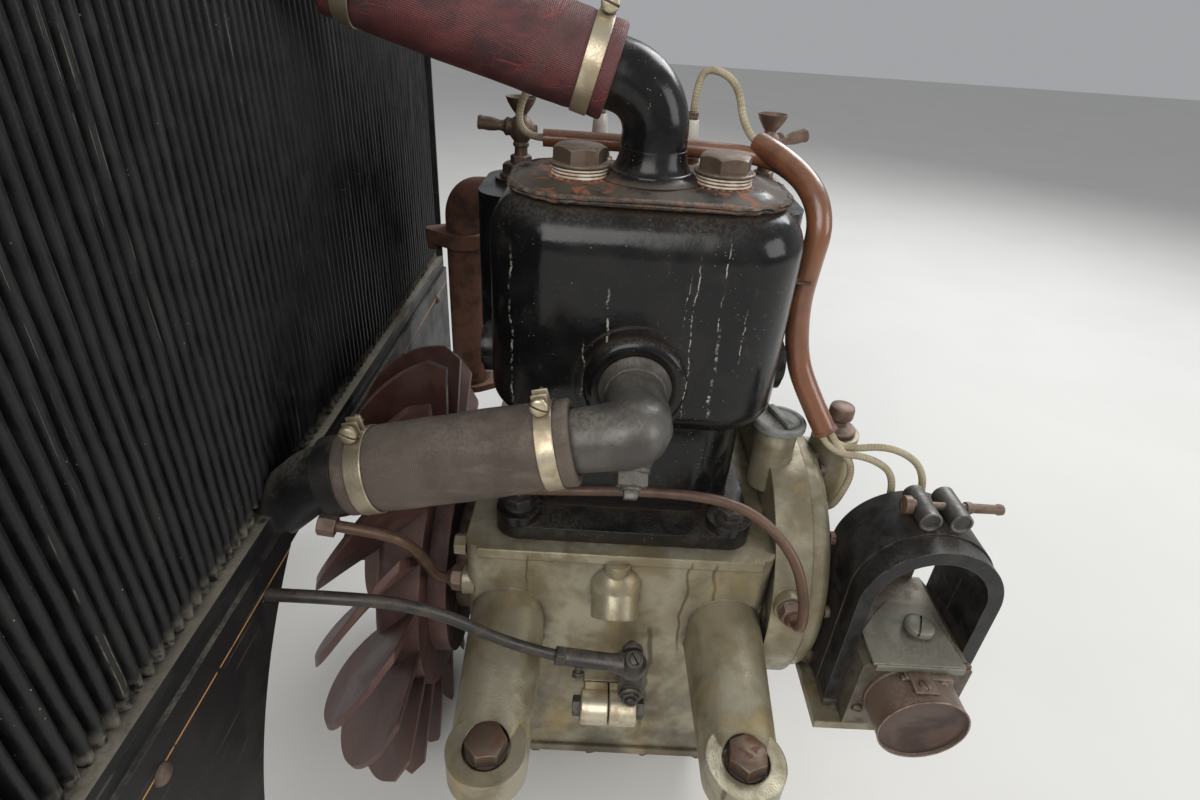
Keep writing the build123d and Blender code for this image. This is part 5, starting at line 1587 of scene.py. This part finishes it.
@dataclass
class ValveSide:
    """Springs, caps, priming cups and spark plugs over and under the valve chest."""

    y: float = 98.0
    inner: float = 36.0
    outer: float = 98.0
    deck: float = 98.0
    chest_low: float = 205.0
    cap_z: float = 322.0
    terminal_z: float = 380.0

    def springs(self) -> None:
        """Makes the tappets, the stems and the wound springs."""
        coils, tappets = Forge(), Forge()
        top = self.chest_low - 14.0
        for x in (-self.outer, -self.inner, self.inner, self.outer):
            foot = seat((x, self.y, self.deck))
            coils.coil(seat((x, self.y, self.deck + 37.0)), 10.6, 1.7, 6.9, (top - self.deck - 39.0) / 6.9)
            outline = [
                (0.0, -0.2), (10.0, -0.2), (10.0, 17.0), (9.0, 19.0), (6.0, 20.0), (6.0, 30.0),
                (5.0, 31.0), (4.0, 32.0), (13.0, 32.0), (13.2, 33.0), (13.0, 35.0), (5.0, 35.4),
                (4.4, 40.0), (4.4, top - self.deck + 1.0), (0.0, top - self.deck + 1.0),
            ]
            tappets.lathe(foot, outline, 28)
            tappets.hexagon(seat((x, self.y, self.deck + 20.4)), 13.5, 5.4)
        coils.close("spring_coils", "spring_steel", stands_for=["valve_springs"], sharp=60.0)
        tappets.close("spring_stems", "old_steel")

    def cups(self) -> None:
        """Makes the two priming cups: a taper tap, its bobbin handle and a funnel."""
        seat_z = self.cap_z + 11.0
        for name, x, heading in (
            ("priming_cup_rear", -self.outer, (-1.0, -0.12, 0.1)),
            ("priming_cup_front", self.outer, (1.0, 0.3, 0.25)),
        ):
            way = Vector(heading).normalized()
            foot, body = seat((x, self.y, seat_z)), Vector((x, self.y, seat_z + 26.0))
            forge = Forge()
            forge.hexagon(foot, 15.0, 6.0)
            neck = [
                (0.0, 5.8), (5.6, 5.8), (5.2, 8.0), (5.2, 12.0), (6.4, 13.0), (6.4, 15.0), (5.6, 16.0),
                (8.6, 20.0), (9.9, 24.0), (10.2, 27.0), (9.4, 30.5), (6.6, 33.6), (4.6, 35.0), (4.4, 36.4),
                (7.0, 39.6), (10.2, 44.5), (11.8, 48.4), (12.0, 49.0), (11.2, 49.0), (9.6, 46.0),
                (6.0, 40.5), (2.4, 37.6), (0.0, 37.2),
            ]
            forge.lathe(foot, neck, 36)
            tap = [
                (0.0, -13.0), (2.6, -13.0), (3.0, -12.2), (3.0, -10.8), (4.6, -10.4), (4.9, -9.0),
                (6.0, -8.6), (6.6, 9.8), (6.9, 10.2), (6.9, 12.0), (5.6, 12.6), (4.2, 14.2), (3.9, 17.0),
                (4.8, 21.0), (5.2, 25.0), (5.0, 30.0), (5.5, 32.2), (5.1, 33.4), (3.8, 34.0), (0.0, 34.2),
            ]
            forge.lathe(seat(body, way), tap, 28)
            forge.hexagon(seat(body - way * 9.6, -way), 8.0, 3.0)
            forge.close(name + "_turned", "cap_brown", stands_for=[name], sharp=36.0)

    def plugs(self) -> None:
        """Makes the two spark plugs: steel body, ribbed porcelain and its nut."""
        steel, china = Forge(), Forge()
        seat_z = self.cap_z + 11.0
        for x in (-self.inner, self.inner):
            foot = seat((x, self.y, seat_z))
            steel.lathe(foot, [(0.0, -0.2), (11.6, -0.2), (11.6, 1.4), (0.0, 1.6)], 32)
            steel.hexagon(seat((x, self.y, seat_z + 1.2), turn=x), 21.8, 8.0)
            steel.lathe(
                foot, [(0.0, 8.8), (8.8, 8.8), (9.0, 10.0), (8.8, 13.6), (7.6, 15.0), (0.0, 15.0)], 30,
            )
            high = self.terminal_z - seat_z
            china.lathe(
                foot, [(0.0, 14.6), (6.8, 14.6), (6.9, 17.0), (6.2, 18.6), (6.7, 20.0), (6.1, 22.0),
                       (6.4, 24.0), (5.6, high - 9.0), (5.0, high - 6.0), (0.0, high - 5.6)], 30,
            )
            steel.lathe(
                foot, [(0.0, high - 6.4), (3.9, high - 6.4), (4.0, high - 4.0), (0.0, high - 3.8)], 20,
            )
            steel.hexagon(seat((x, self.y, self.terminal_z - 4.2), turn=x + 10.0), 7.4, 3.8)
        steel.close("plug_shells", "old_steel", stands_for=["spark_plugs"])
        china.close("plug_porcelain", "porcelain", sharp=50.0)

    def caps(self) -> None:
        """Makes the four valve caps."""
        forge = Forge()
        for x in (-self.outer, -self.inner, self.inner, self.outer):
            forge.lathe(
                seat((x, self.y, self.cap_z)),
                [(0.0, -0.1), (16.6, -0.1), (17.0, 0.4), (17.0, 2.4), (16.4, 3.0), (0.0, 3.2)], 38,
            )
            forge.hexagon(seat((x, self.y, self.cap_z + 3.0), turn=x * 1.7), 26.0, 8.0)
        forge.close("cap_hexagons", "old_steel", stands_for=["valve_caps"])

    def build(self) -> None:
        """Makes the whole valve side."""
        self.springs()
        self.cups()
        self.plugs()
        self.caps()


# Fasteners and small turned pieces


@dataclass
class Fasteners:
    """Bolts, nuts and screws, with the caps and plugs that are turned like them."""

    arm_x: float = 86.0
    arm_y: float = 205.0
    pad_z: float = 20.0
    bolt_reach: float = 38.0
    stud_x: float = 80.0
    stud_y: float = 70.0
    stud_z: float = 118.0
    drain_root: Point = (-4.0, -122.0, 220.8)
    drain_way: Point = (0.0, -0.72, -0.694)

    def arm_bolts(self) -> None:
        """Makes the four big bolts that hold the arms, each on its washer."""
        forge = Forge()
        for index, (x, y) in enumerate(
            (x, y) for x in (-self.arm_x, self.arm_x) for y in (-self.arm_y, self.arm_y)
        ):
            shank = [
                (0.0, -self.bolt_reach), (5.4, -self.bolt_reach), (6.0, 0.8 - self.bolt_reach), (6.0, 0.0),
                (6.3, 0.2), (6.3, self.pad_z), (13.2, self.pad_z), (13.8, self.pad_z + 0.5),
                (13.8, self.pad_z + 1.6), (13.2, self.pad_z + 2.0), (0.0, self.pad_z + 2.0),
            ]
            forge.lathe(seat((x, y, 0.0)), shank, 36)
            forge.hexagon(
                seat((x, y, self.pad_z + 1.8), turn=(8.0, 51.0, 22.0, 37.0)[index]), 24.0, 12.0, 0.94,
            )
        forge.close("arm_bolt_heads", "old_steel", stands_for=["arm_bolts"])

    def block_nuts(self) -> None:
        """Makes the four nuts on the block's studs."""
        forge = Forge()
        for x in (-self.stud_x, self.stud_x):
            for y in (-self.stud_y, self.stud_y):
                place = seat((x, y, self.stud_z))
                forge.lathe(place, [(0.0, -0.1), (10.8, -0.1), (10.8, 1.4), (0.0, 1.6)], 30)
                forge.hexagon(seat((x, y, self.stud_z + 1.2), turn=x + y), 17.0, 8.0)
                forge.lathe(place, [(0.0, 9.0), (4.9, 9.0), (4.9, 12.2), (4.2, 13.0), (0.0, 13.2)], 24)
        forge.close("stud_nuts", "oily_steel", stands_for=["block_nuts"])

    def rim_screws(self) -> None:
        """Makes the cheese-head screws round the timing cover and the bolts under the sump's flange."""
        forge = Forge()
        for angle in (100, 135, 170, 205, 240, 275, 310):
            turn = math.radians(angle)
            spot = (161.6, 97.0 * math.cos(turn), 32.0 + 97.0 * math.sin(turn))
            forge.slotted(seat(spot, (1.0, 0.0, 0.0), angle * 1.7), 5.2, 3.6, 0.9, 1.3, 26)
        for x in (-112, -62, -12, 38, 88):
            for y in (-91.0, 91.0):
                forge.hexagon(seat((x, y, -147.8), (0.0, 0.0, -1.0), x), 12.0, 6.0)
        forge.close("rim_screws", "old_steel")

    def filler(self) -> None:
        """Makes the oil filler's cap, dished under its grip, and the grease cup's bobbin."""
        place = seat((120.0, -15.0, 168.0), turn=18.0)
        forge = Forge()
        outline = [
            (0.0, 0.0), (20.0, 0.0), (21.0, 0.8), (21.0, 4.6), (20.2, 6.0), (18.6, 6.8), (16.8, 6.6),
            (15.6, 5.4), (13.0, 5.0), (0.0, 5.2),
        ]
        forge.lathe(place, outline, 60)
        forge.slab((-3.2, -16.6, 4.4), (3.2, 16.6, 10.6), 2.0, place)
        forge.close("filler_lid", "filler_grey", stands_for=["filler_cap"])
        cup = Forge()
        place = seat((178.0, 10.0, 150.0))
        outline = [
            (0.0, 0.0), (14.6, 0.0), (15.0, 0.6), (15.0, 4.0), (14.0, 5.0), (9.0, 5.4), (7.0, 7.0),
            (6.6, 11.0), (8.0, 13.0), (9.8, 14.2), (10.2, 16.0), (10.2, 22.0), (9.4, 24.6), (7.0, 25.8),
            (0.0, 26.2),
        ]
        cup.lathe(place, outline, 44)
        cup.close("grease_bobbin", "cap_brown", stands_for=["greaser"], sharp=38.0)

    def elbow(self) -> None:
        """Makes the fat cast elbow, full at its corner, and the black ring that it stands on."""
        corner, line = Vector((-2.0, -130.0, 228.8)), Vector((-1.0, 0.0, -0.239)).normalized()
        forge = Forge()
        knee = corner + Vector((3.0, -4.0, 1.0))
        forge.pipe(
            [(-2, -77, 228.8), (-2, -104, 228.8), tuple(knee), tuple(corner + line * 26),
             tuple(corner + line * 60)], 20.0,
        )
        middle = corner + Vector((-12.0, 12.0, -3.0))

        def swell(spot: Vector) -> Vector:
            """Gives how far the casting stands out round its corner."""
            away = spot - middle
            share = math.exp(-((away.length / 30.0) ** 4))
            rough = Vector((noise.noise(spot * 0.06), 0.0, noise.noise(spot * 0.05)))
            return away.normalized() * share * 2.6 + rough * 0.5

        forge.ripple(swell)
        forge.lathe(
            seat((-2.0, -78.0, 228.8), NEAR),
            [(19.0, 0.0), (24.6, 0.0), (23.6, 1.6), (21.6, 4.0), (20.5, 9.0), (19.0, 9.0)], 60, ring=True,
        )
        down = Vector(self.drain_way).normalized()
        forge.lathe(
            seat(Vector(self.drain_root), down),
            [(0.0, 8.0), (14.6, 8.0), (13.0, 16.0), (12.0, 19.4), (11.0, 20.2), (0.0, 20.4)], 40,
        )
        forge.close("elbow_casting", "cast_grey", stands_for=["water_inlet"], sharp=50.0)
        ring = Forge()
        outline = [
            (20.0, 0.0), (35.0, 0.0), (35.0, 5.4), (33.6, 7.6), (31.0, 8.8), (28.0, 9.0), (25.6, 8.0),
            (24.0, 6.0), (20.0, 6.0),
        ]
        ring.lathe(seat((-2.0, -70.0, 228.8), NEAR), outline, 72, ring=True)
        ring.close("elbow_ring", "black_enamel", sharp=50.0)

    def drain(self) -> None:
        """Makes the drain plug under the inlet elbow."""
        down = Vector(self.drain_way).normalized()
        foot = Vector(self.drain_root) + down * 20.0
        forge = Forge()
        place = seat(foot, down)
        forge.lathe(
            place, [(0.0, -0.2), (11.0, -0.2), (11.6, 0.6), (11.6, 2.6), (10.8, 3.4), (0.0, 3.6)], 40,
        )
        forge.hexagon(seat(foot + down * 3.2, down, 20.0), 18.4, 9.0, 0.86)
        forge.lathe(place, [(0.0, 12.0), (6.6, 12.0), (6.6, 13.4), (6.0, 14.0), (0.0, 14.2)], 28)
        forge.slab((-4.3, -4.3, 13.8), (4.3, 4.3, 19.0), 0.9, place)
        forge.close("drain_plug_turned", "cast_grey", stands_for=["drain_plug"])

    def apron_heads(self) -> None:
        """Makes the fasteners on the apron's face."""
        forge = Forge()
        for y, z in ((-289.0, 128.0), (289.0, 128.0), (-325.0, 40.0), (325.0, 40.0)):
            outline = [(0.0, -0.2), (5.6, -0.2), (5.4, 1.0), (4.4, 2.4), (2.4, 3.3), (0.0, 3.6)]
            forge.lathe(seat((-221.0, y, z), (1.0, 0.0, 0.0)), outline, 24)
        forge.close("apron_rivets", "dull_bronze")

    def build(self) -> None:
        """Makes all of them."""
        for make in (
            self.arm_bolts, self.block_nuts, self.rim_screws, self.filler, self.elbow, self.drain,
            self.apron_heads,
        ):
            make()


@dataclass
class Linkage:
    """The governor's rod with its ball joint, the lever, and the split bearing under them."""

    wall_y: float = -96.0
    lever_x: float = 14.0
    lever_z: float = -16.0
    ball: Point = (12.0, -141.0, 31.0)
    rod_radius: float = 4.2
    rod_points: tuple[Point, ...] = (
        (-262, -178, 127), (-225, -178, 127), (-184, -177, 126), (-146, -171, 118), (-112, -161, 95),
        (-82, -151, 61), (-44, -143, 40),
    )

    def rod(self) -> None:
        """Makes the bent rod, its lock nut, the sleeve over its end and the ball's housing."""
        forge = Forge()
        forge.pipe(self.rod_points, self.rod_radius)
        end, ball = Vector(self.rod_points[-1]), Vector(self.ball)
        way = (ball - end).normalized()
        reach = (ball - end).length
        forge.hexagon(seat(end - way * 1.0, way, 12.0), 13.0, 6.5)
        sleeve = [
            (0.0, 5.0), (5.6, 5.0), (6.4, 5.8), (6.6, 8.0), (6.6, reach - 15.0), (7.6, reach - 12.0),
            (8.2, reach - 8.0), (0.0, reach - 4.0),
        ]
        forge.lathe(seat(end, way), sleeve, 32)
        up = Vector((0.0, -0.35, 1.0)).normalized()
        housing = [
            (0.0, -11.0), (5.0, -11.0), (7.6, -9.6), (9.4, -6.0), (10.2, -1.0), (10.0, 4.0), (8.6, 8.0),
            (6.4, 10.4), (6.2, 12.4), (0.0, 12.8),
        ]
        forge.lathe(seat(ball, up), housing, 36)
        forge.slotted(seat(ball + up * 12.0, up, 30.0), 4.6, 2.0, 1.6, 1.1, 26)
        forge.lathe(seat(ball, (0.0, 1.0, 0.0)), [(0.0, 0.0), (3.4, 0.0), (3.4, 20.0), (0.0, 20.0)], 20)
        pin = end + way * 16.0 + Vector((0.0, -3.0, -6.0))
        forge.lathe(
            seat(pin, (0.0, -0.5, -1.0)),
            [(0.0, -6.0), (2.6, -6.0), (2.6, 3.0), (4.2, 3.4), (4.4, 6.6), (3.0, 8.0), (0.0, 8.2)], 22,
        )
        forge.close("governor_rod", "oily_steel", stands_for=["control_rod"], sharp=40.0)

    def lever(self) -> None:
        """Makes the flat lever from its shaft up to the ball, with the shaft's boss and nut."""
        forge = Forge()
        low, high = Vector((self.lever_x, self.lever_z)), Vector((self.ball[0], self.ball[2]))
        outline = []
        for middle, radius, start in ((low, 10.0, 180), (high, 8.0, 0)):
            for angle in range(start, start + 181, 15):
                outline.append(
                    (middle.x + radius * math.cos(math.radians(angle)),
                     middle.y + radius * math.sin(math.radians(angle)))
                )
        forge.sheet(seat((0.0, self.wall_y - 30.2, 0.0), NEAR), outline, 4.8, 0.8)
        shaft = (self.lever_x, self.wall_y - 10.0, self.lever_z)
        forge.lathe(
            seat(shaft, NEAR),
            [(0.0, -9.6), (5.4, -9.6), (5.4, 19.6), (9.0, 20.0), (9.0, 27.4), (8.0, 28.4), (0.0, 28.6)], 30,
        )
        forge.hexagon(seat((self.lever_x, self.wall_y - 38.0, self.lever_z), NEAR, 20.0), 13.0, 3.0)
        forge.close("governor_arm", "oily_steel", stands_for=["governor_lever"])

    def bearing(self) -> None:
        """Makes the bright split bearing, its two halves and the slit between them."""
        y = self.wall_y - 31.0
        shell, dark = Forge(), Forge()
        for low, high in ((-24.0, -2.6), (-1.4, 20.0)):
            outline = [
                (0.0, 0.0), (12.8, 0.0), (13.8, 1.0), (13.8, high - low - 0.6), (13.2, high - low),
                (0.0, high - low),
            ]
            shell.lathe(seat((low, y, -40.0), (1.0, 0.0, 0.0)), outline, 44)
        shell.slab((-21.6, y, -52.0), (-2.4, self.wall_y - 16.2, -28.4), 1.2)
        shell.slab((-1.6, y, -52.0), (17.6, self.wall_y - 16.2, -28.4), 1.2)
        shell.close("bearing_halves", "bearing_bright", stands_for=["split_bearing"])
        dark.lathe(
            seat((-24.4, y, -40.0), (1.0, 0.0, 0.0)), [(0.0, 0.0), (11.0, 0.0), (11.0, 44.8), (0.0, 44.8)],
            30,
        )
        dark.hexagon(seat((-24.2, y, -40.0), (-1.0, 0.0, 0.0), 15.0), 14.0, 6.6)
        dark.hexagon(seat((20.2, y, -40.0), (1.0, 0.0, 0.0), 40.0), 14.0, 6.6)
        dark.close("bearing_bolt", "oily_steel")

    def pins(self) -> None:
        """Makes the slotted screw on the lever's shaft and the plug beside the lever."""
        forge = Forge()
        forge.slotted(
            seat((self.lever_x, self.wall_y - 40.8, self.lever_z), NEAR, 75.0), 4.6, 2.2, 1.6, 1.2, 26,
        )
        forge.lathe(
            seat((self.lever_x - 1.0, self.wall_y - 35.2, 6.0), NEAR),
            [(0.0, -0.2), (6.0, -0.2), (5.6, 2.0), (3.4, 3.2), (0.0, 3.6)], 24,
        )
        forge.close("lever_screws", "oily_steel")

    def build(self) -> None:
        """Makes the whole linkage."""
        self.rod()
        self.lever()
        self.bearing()
        self.pins()


HOSES = (
    WaterHose("lower_hose", "old_hose", (-2.0, -130.0, 228.8), -0.239, 38.0, 182.0, 20.3),
    WaterHose("upper_hose", "red_hose", (0.0, -8.0, 403.7), 0.284, 30.0, 203.0, 21.8),
)


def dress_nodes() -> None:
    """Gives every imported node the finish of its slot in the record."""
    slots = {part["node"]: part["material_slot"] for part in frame["record"]["subparts"]}
    for name, holder in frame["nodes"].items():
        holder.data.materials.clear()
        holder.data.materials.append(WARDROBE[slots[name]])
        log.info("dressed %s with %s", name, slots[name])


def main() -> None:
    """Builds the scene in order."""
    logging.basicConfig(level=logging.INFO, format="%(message)s")
    Studio().build()
    dress_nodes()
    RadiatorCore().build()
    for hose in HOSES:
        hose.build()
    for assembly in (BlockTop(), Plumbing(), Magneto(), ValveSide(), Fasteners(), Linkage()):
        assembly.build()
    for number, lead in enumerate(LEADS):
        lead.build(number == 0)


if __name__ == "__main__":
    main()
